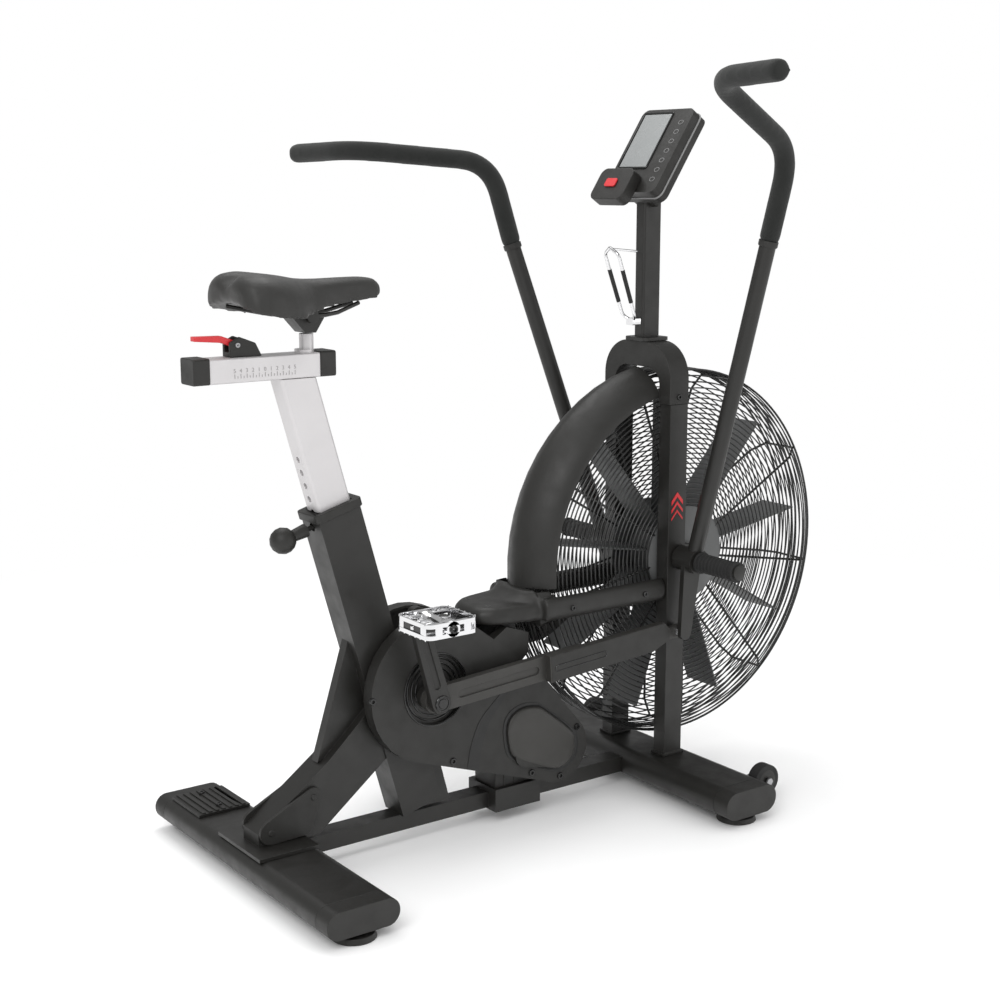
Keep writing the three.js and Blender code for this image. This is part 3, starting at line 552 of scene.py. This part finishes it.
def build_saddle():
    low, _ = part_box("saddle")
    base = low.z / MM + SADDLE_BASE
    pad = Piece()
    pad.rings([saddle_section(*station, base) for station in SADDLE_STATIONS])
    cushion = pad.make("saddle_pad", "leather", "saddle")
    cushion.parent = None
    swell(cushion, SOFT_VOXEL, 0.003)
    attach(cushion, "saddle")
    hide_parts("saddle")
    shell = Piece()
    shell.rings([
        [at(x, half * 0.6 * math.cos(t), base - 3.5 + 2.5 * math.sin(t)) for t in angles(24)]
        for x, half, _, _, _ in SADDLE_STATIONS[2:-1]
    ])
    shell.make("saddle_shell", "plastic", "saddle")


# Places on a lever in its own frame, in millimetres from its pivot, before the resting swing.
LEVER_TUBE_END = (-3, 227, 551)
GRIP_BENDS = ((1, 251, 703), (-234, 309, 782), (-259, 475, 783))
LEVER_FOOT_Y = 122
GRIP_RADIUS = 17.2
GRIP_END_SHARE = 0.86
SWING_RIGHT = 5.9
SWING_LEFT = -13.9


def lever_swing(sign):
    """The resting swing of a lever about its pivot, in degrees; negative leans it back."""
    return SWING_RIGHT if sign < 0 else SWING_LEFT


def build_grips():
    hub = pivot("lever_right_swing")
    for side, sign in SIDES:
        turn = Matrix.Rotation(math.radians(lever_swing(sign)), 4, "Y")
        place = Matrix.Translation(Vector((hub.x, 0, hub.z))) @ turn

        def local(point):
            return place @ Vector((point[0] * MM, sign * point[1] * MM, point[2] * MM))

        base = local((0, LEVER_FOOT_Y, 0))
        end = local(LEVER_TUBE_END)
        start = end + (end - base).normalized() * 2.5 * MM
        path = even_path(smooth_path([start, *(local(p) for p in GRIP_BENDS)], 58 * MM, 12), 8 * MM)
        radii = [GRIP_RADIUS * MM] * len(path)
        radii[0] = radii[-1] = GRIP_RADIUS * MM * GRIP_END_SHARE
        neck = Piece()
        profile = ((13.8, -5), (15.4, -5), (16.4, -3), (16.4, 5), (13.8, 5))
        neck.lathe([(r * MM, h * MM) for r, h in profile], end, end - base, 28)
        neck.make(f"grip_ferrule_{side}", "plastic", f"lever_{side}")
        foam = Piece().tube(path, radii, 20).make(f"foam_grip_{side}", "foam", f"lever_{side}")
        foam.parent = None
        swell(foam, SOFT_VOXEL, 0.0012)
        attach(foam, f"lever_{side}")
        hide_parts(f"grip_{side}")


# ---------------------------------------------------------------- fasteners and fittings


def screw_head(piece, centre, normal, radius):
    """A round head with a shallow round recess."""
    r = radius * MM
    profile = [(0, -0.4 * r), (r, -0.4 * r), (r, 0.25 * r), (0.86 * r, 0.45 * r), (0.5 * r, 0.45 * r),
               (0.45 * r, 0.0), (0, -0.1 * r)]
    piece.lathe(profile, centre, normal, 24)


def screw_group(name, places, normal, radius, look="gloss", body="frame"):
    piece = Piece()
    for place in places:
        screw_head(piece, place, normal, radius)
    piece.make(name, look, body)


# Marks on the chain covers, as (x, z) in millimetres.
COVER_SCREWS = ((161, 271), (314, 140), (476, 85), (538, 66), (574, 148))
BAND_LEFT = ((431, 256), (401.8, 230.7), (368.5, 199.4), (350.8, 161.6), (344, 130), (342.5, 119.5))
BAND_RIGHT = ((441, 250), (417.4, 228), (386.2, 188.4), (370.6, 146.1), (367, 124), (366.0, 111))
BUMP = ((424, 168), (427, 184), (437, 196), (453, 203), (469, 204), (486, 201), (501, 193), (556, 148),
        (566, 128), (564, 104), (552, 90), (534, 83), (514, 86), (484, 98), (440, 120), (428, 140))
# How far the outline is scaled at each height above the middle plane.
WELL_LEVELS = ((1.13, 55.2), (1.13, 57.0), (1.09, 57.8), (1.04, 57.0), (0.98, 55.2))
DOME_LEVELS = ((1.0, 55.5), (1.0, 59.5), (0.97, 61.8), (0.92, 63.2), (0.8, 63.9), (0.5, 64.3), (0.05, 64.4))
COVER_FACE = 56
RING_LEVELS = ((60, 56.6), (52, 50.8), (44, 50.7), (36, 50.6))


def ribbon(piece, left, right, low, high):
    """A strip between two edges given as (x, z), lifted off a side face from y = low to y = high."""
    piece.rings([
        [at(a[0], low, a[1]), at(a[0], high, a[1]), at(b[0], high, b[1]), at(b[0], low, b[1])]
        for a, b in zip(left, right)
    ])


def curve_through(points, steps=6):
    """Catmull-Rom points through a run of (a, b) pairs."""
    padded = [points[0], *points, points[-1]]
    path = []
    for p0, p1, p2, p3 in zip(padded, padded[1:], padded[2:], padded[3:]):
        for i in range(steps):
            t = i / steps
            path.append(tuple(
                0.5 * (2 * b + (c - a) * t + (2 * a - 5 * b + 4 * c - d) * t ** 2
                       + (3 * b - a - 3 * c + d) * t ** 3)
                for a, b, c, d in zip(p0, p1, p2, p3)
            ))
    return [*path, points[-1]]


def build_cover_details():
    axle = pivot("crank_spin")
    for side, sign in SIDES:
        out = (0, sign, 0)
        face = sign * COVER_FACE
        screw_group(f"cover_screws_{side}", [at(x, face, z) for x, z in COVER_SCREWS], out, 6)
        trim = Piece()
        for radius, lift in RING_LEVELS:
            path = [polar_xz(axle, radius * MM, 360 * i / 64, sign * lift * MM) for i in range(64)]
            trim.tube(path, 1.7 * MM, 8, closed=True)
        trim.make(f"cover_rings_{side}", "gloss", "frame")
        band = Piece()
        ribbon(band, curve_through(BAND_LEFT), curve_through(BAND_RIGHT), face - sign, face + sign * 0.7)
        band.make(f"cover_band_{side}", "band", "frame")
        middle = [sum(p[k] for p in BUMP) / len(BUMP) for k in (0, 1)]
        loop = curve_through([*BUMP, BUMP[0]], 3)[:-1]

        def around(scale, lift):
            return [
                at(middle[0] + (x - middle[0]) * scale, sign * lift, middle[1] + (z - middle[1]) * scale)
                for x, z in loop
            ]

        well = Piece()
        well.rings([around(scale, lift) for scale, lift in WELL_LEVELS])
        well.make(f"cover_well_{side}", "band", "frame")
        dome = Piece()
        dome.rings([around(scale, lift) for scale, lift in DOME_LEVELS])
        dome.make(f"cover_dome_{side}", "cover", "frame")


# Height of each chevron's tip and how thick it is.
CHEVRONS = ((545, 8), (529, 5.5), (514, 4))
FORK_FACE = 87.2


def build_block_ribs():
    """The ribbed upper part of the support block, closing the gap under the chain cover."""
    block = Piece()
    outline = [(a * MM, b * MM) for a, b in rounded(92, 62, 3)]
    block.slab(outline, at(464, 0, 62), (1, 0, 0), (0, 1, 0), 44 * MM)
    for sign in (-1, 1):
        for x in (436, 458, 482):
            path = [at(x, sign * 31, 63), at(x, sign * 31, 104)]
            block.tube(path, 1.6 * MM, 8)
    block.make("support_block_ribs", "plastic", "frame")


def build_fork_marks():
    """Three upward chevrons, thinner as they go down, on each fork leg's outer face."""
    marks = Piece()
    for _, sign in SIDES:
        for tip, thick in CHEVRONS:
            for lean in (-1, 1):
                corners = [(0, 0), (lean * 13, -15), (lean * 13, -15 - thick), (0, -thick)]
                outline = [(a * MM, b * MM) for a, b in corners]
                marks.slab(outline, at(769, sign * FORK_FACE, tip), (-sign, 0, 0), (0, 0, 1), 0.5 * MM)
    marks.make("fork_chevrons", "red", "frame", smooth=False)


# Half of the pad's outline as (x, y), from its rear point forward.
SHOULDER_PAD = ((374, 22), (380, 38), (396, 52), (418, 60), (440, 64), (470, 70), (540, 70), (562, 62))
# Collar rings: x of the middle, half length, half width and height.
SHOULDER_COLLAR = (
    (503, 66, 60, 374), (503, 64, 60, 382), (503, 50, 58, 388), (503, 38, 56.5, 395), (503, 32, 55.5, 402),
)
SHOULDER_VOXEL = 0.0035
# The form is pressed back outside this radius round the fan, within this half width.
GUARD_CLEARANCE = 0.338
GUARD_HALF_WIDTH = 0.0605


def build_shoulder():
    """The moulded saddle round the fender's foot, with an arm along each side of the guard."""
    form = Piece()
    loop = [(x, -y) for x, y in SHOULDER_PAD] + list(reversed(SHOULDER_PAD))

    def level(scale, z):
        return [at(470 + (x - 470) * scale, y * scale, z) for x, y in loop]

    form.rings([level(0.90, 354), level(0.98, 358), level(1.0, 366), level(0.97, 376), level(0.88, 384)])
    form.rings([
        [at(x + a * math.cos(t), b * math.sin(t) * 1.14, z) for t in angles(40)]
        for x, a, b, z in SHOULDER_COLLAR
    ])
    for sign in (-1, 1):
        section = [(73.5 * sign + 12.5 * math.cos(t), 372 + 20 * math.sin(t)) for t in angles(20)]
        form.rings([[at(x, y, z) for y, z in section] for x in (486, 749)])
    shoulder = form.make("shoulder_form", "plastic", "frame")
    shoulder.parent = None
    remesh = shoulder.modifiers.new("remesh", "REMESH")
    remesh.mode = "VOXEL"
    remesh.voxel_size = SHOULDER_VOXEL
    apply_all(shoulder)
    relax = shoulder.modifiers.new("relax", "SMOOTH")
    relax.iterations = 9
    relax.factor = 0.5
    apply_all(shoulder)
    hub = pivot("fan_spin")
    for vertex in shoulder.data.vertices:
        spoke = Vector((vertex.co.x - hub.x, 0, vertex.co.z - hub.z))
        if abs(vertex.co.y) < GUARD_HALF_WIDTH and spoke.length < GUARD_CLEARANCE:
            place = Vector((hub.x, 0, hub.z)) + spoke.normalized() * GUARD_CLEARANCE
            vertex.co = Vector((place.x, vertex.co.y, place.z))
    shoulder.data.shade_smooth()
    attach(shoulder, "frame")
    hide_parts("shoulder_cover")


SCALE_CENTRE = 6.6
SCALE_PITCH = 10
SCALE_REACH = 5


def build_beam_marks():
    """The fore-and-aft scale: ticks and the figures 5 to 0 to 5 on the beam's right face."""
    low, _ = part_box("seat_beam")
    middle = at(SCALE_CENTRE, 0, 0).x
    face = low.y - 0.00025
    ticks = Piece()
    for i in range(-SCALE_REACH, SCALE_REACH + 1):
        for half in (0, 0.5):
            if i + half > SCALE_REACH:
                continue
            tall = 6.5 if half == 0 else 3.5
            origin = Vector((middle + (i + half) * SCALE_PITCH * MM, face, low.z + 7 * MM))
            outline = [(-0.35, 0), (0.35, 0), (0.35, tall), (-0.35, tall)]
            ticks.slab([(a * MM, b * MM) for a, b in outline], origin, (1, 0, 0), (0, 0, 1), 0.3 * MM)
    ticks.make("scale_ticks", "ink", "seat_carriage", smooth=False)
    for i in range(-SCALE_REACH, SCALE_REACH + 1):
        curve = bpy.data.curves.new(f"scale_{i + SCALE_REACH}", "FONT")
        curve.body = str(abs(i))
        curve.size = 0.0085
        curve.align_x = "CENTER"
        curve.extrude = 0.0001
        figure = bpy.data.objects.new(f"scale_figure_{i + SCALE_REACH}", curve)
        bpy.context.scene.collection.objects.link(figure)
        figure.rotation_euler = (math.pi / 2, 0, 0)
        figure.location = Vector((middle + i * SCALE_PITCH * MM, face, low.z + 15.5 * MM))
        curve.materials.append(MATERIALS["ink"])
        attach(figure, "seat_carriage")


def band_loop(piece, outline, centre, half_height, wall):
    """A flat band standing on edge round a closed outline given in millimetres from centre."""
    rings = []
    for a, b in outline:
        inward = Vector((-a, -b, 0)).normalized() * wall
        rings.append([
            centre + Vector(((a + dx) * MM, (b + dy) * MM, h * MM))
            for dx, dy, h in ((0, 0, -half_height), (0, 0, half_height),
                              (inward.x, inward.y, half_height), (inward.x, inward.y, -half_height))
        ])
    piece.rings(rings, closed=True)


# Posts between a pedal's two bands: x, y, and 1 where the post lies along the band's front or rear.
PEDAL_POSTS = (
    (45, 30, 0), (45, -30, 0), (-45, 30, 0), (-45, -30, 0), (26, 43.5, 1), (-26, 43.5, 1),
    (26, -43.5, 1), (-26, -43.5, 1), (0, 43.5, 1), (0, -43.5, 1),
)
PEDAL_BARREL = (
    (6.5, -45), (12, -45), (13, -42), (13, -26), (10.5, -22), (10.5, 22), (13, 26), (13, 42), (12, 45),
    (6.5, 45),
)
PEDAL_TOOTH = ((0, -1), (1.5, -1), (0.8, 2.2), (0, 2.2))


def build_pedals():
    for side, sign in SIDES:
        low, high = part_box(f"pedal_{side}")
        centre = (low + high) / 2
        cage = Piece()
        for shift in (8.8, -8.8):
            band_loop(cage, rounded(94, 90, 13), centre + Vector((0, 0, shift * MM)), 3.2, 3.0)
        for x, y, turn in PEDAL_POSTS:
            size = (13, 2.6) if turn else (2.6, 13)
            outline = [(a * MM, b * MM) for a, b in rounded(*size, 0.8, 2)]
            cage.slab(outline, centre + Vector((x * MM, y * MM, -9.5 * MM)), (1, 0, 0), (0, 1, 0), 19 * MM)
        for x in (-30, 30):
            outline = [(a * MM, b * MM) for a, b in rounded(34, 8, 2)]
            cage.slab(outline, centre + Vector((x * MM, 0, -3 * MM)), (1, 0, 0), (0, 1, 0), 6 * MM, 1 * MM)
        for y in (-30, 30):
            outline = [(a * MM, b * MM) for a, b in rounded(90, 7, 2)]
            cage.slab(outline, centre + Vector((0, y * MM, 4.5 * MM)), (1, 0, 0), (0, 1, 0), 4 * MM, 1 * MM)
            cage.slab(outline, centre + Vector((0, y * MM, -8.5 * MM)), (1, 0, 0), (0, 1, 0), 4 * MM, 1 * MM)
        cage.lathe([(r * MM, h * MM) for r, h in PEDAL_BARREL], centre, (0, 1, 0), 28)
        for end in (-1, 1):
            for y in (-36, -22, -8, 8, 22, 36):
                for top in (-1, 1):
                    spot = centre + Vector((end * 45.4 * MM, y * MM, top * 11.6 * MM))
                    cage.lathe([(r * MM, h * MM) for r, h in PEDAL_TOOTH], spot, (0, 0, top), 8)
        made = cage.make(f"pedal_cage_{side}", "chrome", f"pedal_{side}")
        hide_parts(f"pedal_{side}")
        plates = Piece()
        for end in (-1, 1):
            origin = centre + Vector((end * 44.4 * MM, 0, 0))
            outline = [(a * MM, b * MM) for a, b in rounded(50, 12, 2)]
            plates.slab(outline, origin, (0, -end, 0), (0, 0, 1), 2.6 * MM, 0.6 * MM)
        plates.make(f"pedal_reflectors_{side}", "gloss", f"pedal_{side}")
        cap = Piece()
        screw_head(cap, centre + Vector((0, sign * 45.4 * MM, 0)), (0, sign, 0), 7)
        cap.make(f"pedal_end_cap_{side}", "gloss", f"pedal_{side}")


def build_pivot_hardware():
    for side, sign in SIDES:
        hub = pivot(f"lever_{side}_swing")
        cap = Piece()
        profile = [(0, -1), (13, -1), (13, 4), (10, 6), (0, 6)]
        place = Vector((hub.x, sign * 0.233, hub.z))
        cap.lathe([(r * MM, h * MM) for r, h in profile], place, (0, sign, 0), 24)
        cap.make(f"peg_end_{side}", "plastic", "frame")
        ribs = Piece()
        for i in range(9):
            y = sign * (152 + i * 8.4) * MM
            path = [polar_xz(hub, 15.6 * MM, 360 * k / 32, y) for k in range(32)]
            ribs.tube(path, 1.3 * MM, 6, closed=True)
        ribs.make(f"peg_ribs_{side}", "rubber", "frame")
        wheel = pivot(f"transport_wheel_{side}_spin")
        centre = Vector((wheel.x, sign * 0.2325, wheel.z))
        disc = Piece()
        profile = [(5, 8), (5, 11.2), (15, 11.6), (19, 10.8), (20, 8)]
        disc.lathe([(r * MM, h * MM) for r, h in profile], centre, (0, sign, 0), 40)
        disc.make(f"wheel_hub_{side}", "plastic", f"transport_wheel_{side}")
        nut = Piece()
        place = Vector((wheel.x, sign * 0.2472, wheel.z))
        outline = [(a * MM, b * MM) for a, b in circle(7, 6)]
        nut.slab(outline, place, (-sign, 0, 0), (0, 0, 1), 4 * MM, 0.8 * MM)
        nut.make(f"wheel_nut_{side}", "steel", "frame")


LEVER_DROP = 130
ROD_SLEEVE = ((222, -22.5), (444, -22.5), (483, -9), (483, 9), (472, 22.5), (222, 22.5))
ROD_BALL_RADIUS = 9.5
CRANKPIN_BOLT = (
    (0, -3), (13.5, -3), (13.5, 1), (12.5, 2.2), (11, 2.2), (10.4, 1), (8.4, 1), (7.6, 2.4), (0, 2.9),
)


def build_rod_details():
    """The crankpin's bolt, the rod's dark grooved forward sleeve and the chrome ball at its end."""
    for side, sign in SIDES:
        pin = pivot(f"pushrod_{side}_pin")
        hub = pivot(f"lever_{side}_swing")
        swing = math.radians(lever_swing(sign))
        drop = LEVER_DROP * MM
        end = Vector((hub.x - drop * math.sin(swing), 0, hub.z - drop * math.cos(swing)))
        along = (end - Vector((pin.x, 0, pin.z))).normalized()
        upward = Vector((-along.z, 0, along.x))
        if upward.z < 0:
            upward = -upward
        bolt = Piece()
        place = Vector((pin.x, sign * 0.108, pin.z))
        bolt.lathe([(r * MM, h * MM) for r, h in CRANKPIN_BOLT], place, (0, sign, 0), 36)
        bolt.make(f"crankpin_bolt_{side}", "gloss", "crank")
        sleeve = Piece()
        start = Vector((pin.x, sign * 0.1047, pin.z))
        if along.cross(upward).y * sign > 0:
            outline, u, v = [(a * MM, b * MM) for a, b in ROD_SLEEVE], along, upward
        else:
            outline, u, v = [(b * MM, a * MM) for a, b in ROD_SLEEVE], upward, along
        sleeve.slab(outline, start, u, v, 1.1 * MM, 0.5 * MM)
        sleeve.make(f"rod_sleeve_{side}", "plastic", f"pushrod_{side}", smooth=False)
        groove = Piece()
        path = [start + along * a * MM + upward * b * MM + Vector((0, sign * 1.2 * MM, 0))
                for a, b in ((p + 285, q) for p, q in stadium(110, 5))]
        groove.tube(path, 1.0 * MM, 6, closed=True)
        groove.make(f"rod_groove_{side}", "gloss", f"pushrod_{side}")
        ball = Piece()
        arc = [math.pi * i / 12 for i in range(13)]
        profile = [(ROD_BALL_RADIUS * MM * math.sin(t), -ROD_BALL_RADIUS * MM * math.cos(t)) for t in arc]
        ball.lathe(profile, Vector((end.x, sign * 0.104, end.z)), (0, sign, 0), 24)
        ball.make(f"rod_ball_{side}", "chrome", f"pushrod_{side}")


CONSOLE_AT = (771, 0, 1126)
CONSOLE_TILT = 33.5
CONSOLE_FACE = -6


def build_console():
    tilt = Matrix.Rotation(math.radians(CONSOLE_TILT), 4, "Y")
    place = Matrix.Translation(at(*CONSOLE_AT)) @ tilt
    turn = tilt.to_3x3()
    across, along = turn @ Vector((0, -1, 0)), turn @ Vector((0, 0, 1))
    outward = across.cross(along)
    if outward.dot(turn @ Vector((-1, 0, 0))) < 0:
        across = -across

    def face(y, z, lift=0.0):
        return place @ Vector(((CONSOLE_FACE - lift) * MM, y * MM, z * MM))

    keys = Piece()
    for i in range(7):
        spot = face(-46, -58 + i * 19, 0.1)
        ring = [spot + across * (5.5 * MM * math.cos(t)) + along * (4 * MM * math.sin(t)) for t in angles(24)]
        keys.tube(ring, 0.55 * MM, 6, closed=True)
    keys.make("console_key_rings", "trim", "frame")
    frame_bars = Piece()
    loop = [face(y + 21, z + 20, 0.6) for y, z in rounded(75, 113, 4)]
    frame_bars.tube(loop, 1.4 * MM, 8, closed=True)
    frame_bars.make("console_screen_frame", "gloss", "frame")
    strip = Piece()
    edge = [place @ Vector((12 * MM, y * MM, z * MM)) for y, z in rounded(132.6, 168.6, 14, 8)]
    strip.tube(edge, 1.6 * MM, 8, closed=True)
    strip.make("console_trim", "trim", "frame")
    digits = Piece()
    for row in range(5):
        for column in range(3):
            spot = face(42 - column * 21, 62 - row * 20, -3.0)
            digits.slab([(a * MM, b * MM) for a, b in rounded(13, 9, 1)], spot, across, along, 0.15 * MM)
    digits.make("console_display_cells", "ink", "frame", smooth=False)


MAST_REAR = 748


def build_bottle_cage():
    rear = at(MAST_REAR, 0, 0).x
    cage = Piece()
    for sign in (-1, 1):
        points = [(rear - 12 * MM, 0, 0.838), (rear - 22 * MM, sign * 0.016, 0.848),
                  (rear - 62 * MM, sign * 0.018, 0.955), (rear - 66 * MM, 0, 0.966)]
        cage.tube(smooth_path([Vector(p) for p in points], 0.008, 8), 2.9 * MM, 12)
    cage.tube([Vector((rear - 0.3 * MM, 0, 0.958)), Vector((rear - 63 * MM, 0, 0.964))], 2.0 * MM, 10)
    outline = [(a * MM, b * MM) for a, b in rounded(18, 12, 2)]
    cage.slab(outline, Vector((rear - 20 * MM, 0, 0.838)), (0, 1, 0), (0, 0, 1), 19 * MM, 1 * MM)
    made = cage.make("bottle_cage_wires", "chrome", "frame")
    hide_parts("bottle_cage")
    pads = Piece()
    for sign in (-1, 1):
        a, b = Vector((rear - 31 * MM, sign * 0.0165, 0.872)), Vector((rear - 52 * MM, sign * 0.0175, 0.928))
        pads.tube([a, b], 3.7 * MM, 10)
    pads.make("bottle_cage_strips", "rubber", "frame")


def build_small_screws():
    for side, sign in SIDES:
        places = [at(700, sign * 86.2, 372), at(540, sign * 86.2, 372)]
        screw_group(f"side_arm_screws_{side}", places, (0, sign, 0), 5)
        screw_group(f"arch_screws_{side}", [at(768, sign * 88.2, 712)], (0, sign, 0), 5)
    screw_group("tread_screws", [at(0, y, 65.2) for y in (172, 236)], (0, 0, 1), 5)
    screw_group("shoulder_screws", [at(404, -30, 382), at(404, 30, 382)], (0, 0, 1), 5)
    clamp = pivot("clamp_lever_lift")
    places = [Vector((clamp.x, -0.0132, clamp.z))]
    screw_group("clamp_pin_ends", places, (0, -1, 0), 4, "steel", "seat_carriage")


# ---------------------------------------------------------------- stage, light and camera

# Camera as fitted to the photo: place in millimetres, heading and drop in radians, lens in millimetres.
CAMERA_AT = (-1136.96, -2189.13, 1079.93)
CAMERA_HEADING = 0.9434935
CAMERA_DROP = 0.1921575
CAMERA_LENS = 59.26
FLOOR_HALF = 90.0
# Distances from the middle over which the floor fades into the white ground.
FLOOR_FADE = (0.9, 2.2)
WHITE = (1, 1, 1, 1)
GLOSSY_SKY = 0.42


def build_stage():
    floor = bpy.data.objects.new("floor", bpy.data.meshes.new("floor"))
    corners = [(x * FLOOR_HALF, y * FLOOR_HALF, -0.0005) for x, y in ((-1, -1), (1, -1), (1, 1), (-1, 1))]
    floor.data.from_pydata(corners, [], [(0, 1, 2, 3)])
    bpy.context.scene.collection.objects.link(floor)
    ground = Look("floor", (0.90, 0.90, 0.90), 0.9)
    ground.finish(ground.noise(30.0), 0.0001, 0.01, 0.02)
    distance = ground.nodes.new("ShaderNodeVectorMath")
    distance.operation = "LENGTH"
    ground.links.new(ground.position, distance.inputs[0])
    glow = ground.nodes.new("ShaderNodeEmission")
    glow.inputs["Color"].default_value = WHITE
    fade = ground.nodes.new("ShaderNodeMixShader")
    share = ground.ranged(distance.outputs["Value"], 0.0, 1.0, *FLOOR_FADE)
    ground.links.new(share, fade.inputs["Fac"])
    ground.links.new(ground.shader.outputs["BSDF"], fade.inputs[1])
    ground.links.new(glow.outputs["Emission"], fade.inputs[2])
    ground.links.new(fade.outputs["Shader"], ground.nodes["Material Output"].inputs["Surface"])
    floor.data.materials.append(MATERIALS["floor"])


def build_world():
    """White to the camera and for soft light, dimmer in reflections."""
    world = bpy.data.worlds.new("studio")
    bpy.context.scene.world = world
    world.use_nodes = True
    nodes, links = world.node_tree.nodes, world.node_tree.links
    background = nodes["Background"]
    background.inputs["Color"].default_value = WHITE
    background.inputs["Strength"].default_value = 1.0
    bright = nodes.new("ShaderNodeBackground")
    bright.inputs["Color"].default_value = WHITE
    bright.inputs["Strength"].default_value = 1.0
    dim = nodes.new("ShaderNodeBackground")
    dim.inputs["Color"].default_value = WHITE
    dim.inputs["Strength"].default_value = GLOSSY_SKY
    path = nodes.new("ShaderNodeLightPath")
    shiny = nodes.new("ShaderNodeMixShader")
    links.new(path.outputs["Is Glossy Ray"], shiny.inputs["Fac"])
    links.new(background.outputs["Background"], shiny.inputs[1])
    links.new(dim.outputs["Background"], shiny.inputs[2])
    mix = nodes.new("ShaderNodeMixShader")
    links.new(path.outputs["Is Camera Ray"], mix.inputs["Fac"])
    links.new(shiny.outputs["Shader"], mix.inputs[1])
    links.new(bright.outputs["Background"], mix.inputs[2])
    links.new(mix.outputs["Shader"], nodes["World Output"].inputs["Surface"])


LAMPS_AIM = Vector((0, 0, 0.6))


def add_area(name, place, size, power):
    light = bpy.data.lights.new(name, "AREA")
    light.size = size
    light.energy = power
    lamp = bpy.data.objects.new(name, light)
    bpy.context.scene.collection.objects.link(lamp)
    lamp.location = place
    lamp.rotation_euler = (LAMPS_AIM - Vector(place)).to_track_quat("-Z", "Y").to_euler()


def build_camera():
    data = bpy.data.cameras.new("camera")
    data.lens = CAMERA_LENS
    data.sensor_width = 36.0
    camera = bpy.data.objects.new("camera", data)
    bpy.context.scene.collection.objects.link(camera)
    camera.location = at(*CAMERA_AT)
    level = math.cos(CAMERA_DROP)
    forward = Vector((
        math.cos(CAMERA_HEADING) * level, math.sin(CAMERA_HEADING) * level, -math.sin(CAMERA_DROP),
    ))
    camera.rotation_mode = "QUATERNION"
    camera.rotation_quaternion = forward.to_track_quat("-Z", "Y")
    bpy.context.scene.camera = camera


make_materials()
dress_cad()
build_guards()
build_saddle()
build_grips()
build_cover_details()
build_shoulder()
build_block_ribs()
build_fork_marks()
build_beam_marks()
build_pedals()
build_pivot_hardware()
build_rod_details()
build_console()
build_bottle_cage()
build_small_screws()
build_stage()
build_world()
add_area("key", (-2.4, -1.6, 2.6), 1.8, 42)
add_area("fill", (1.6, -2.6, 1.6), 2.2, 14)
add_area("top", (0.0, 0.8, 3.0), 2.0, 30)
bpy.context.scene.view_settings.view_transform = "Standard"
build_camera()
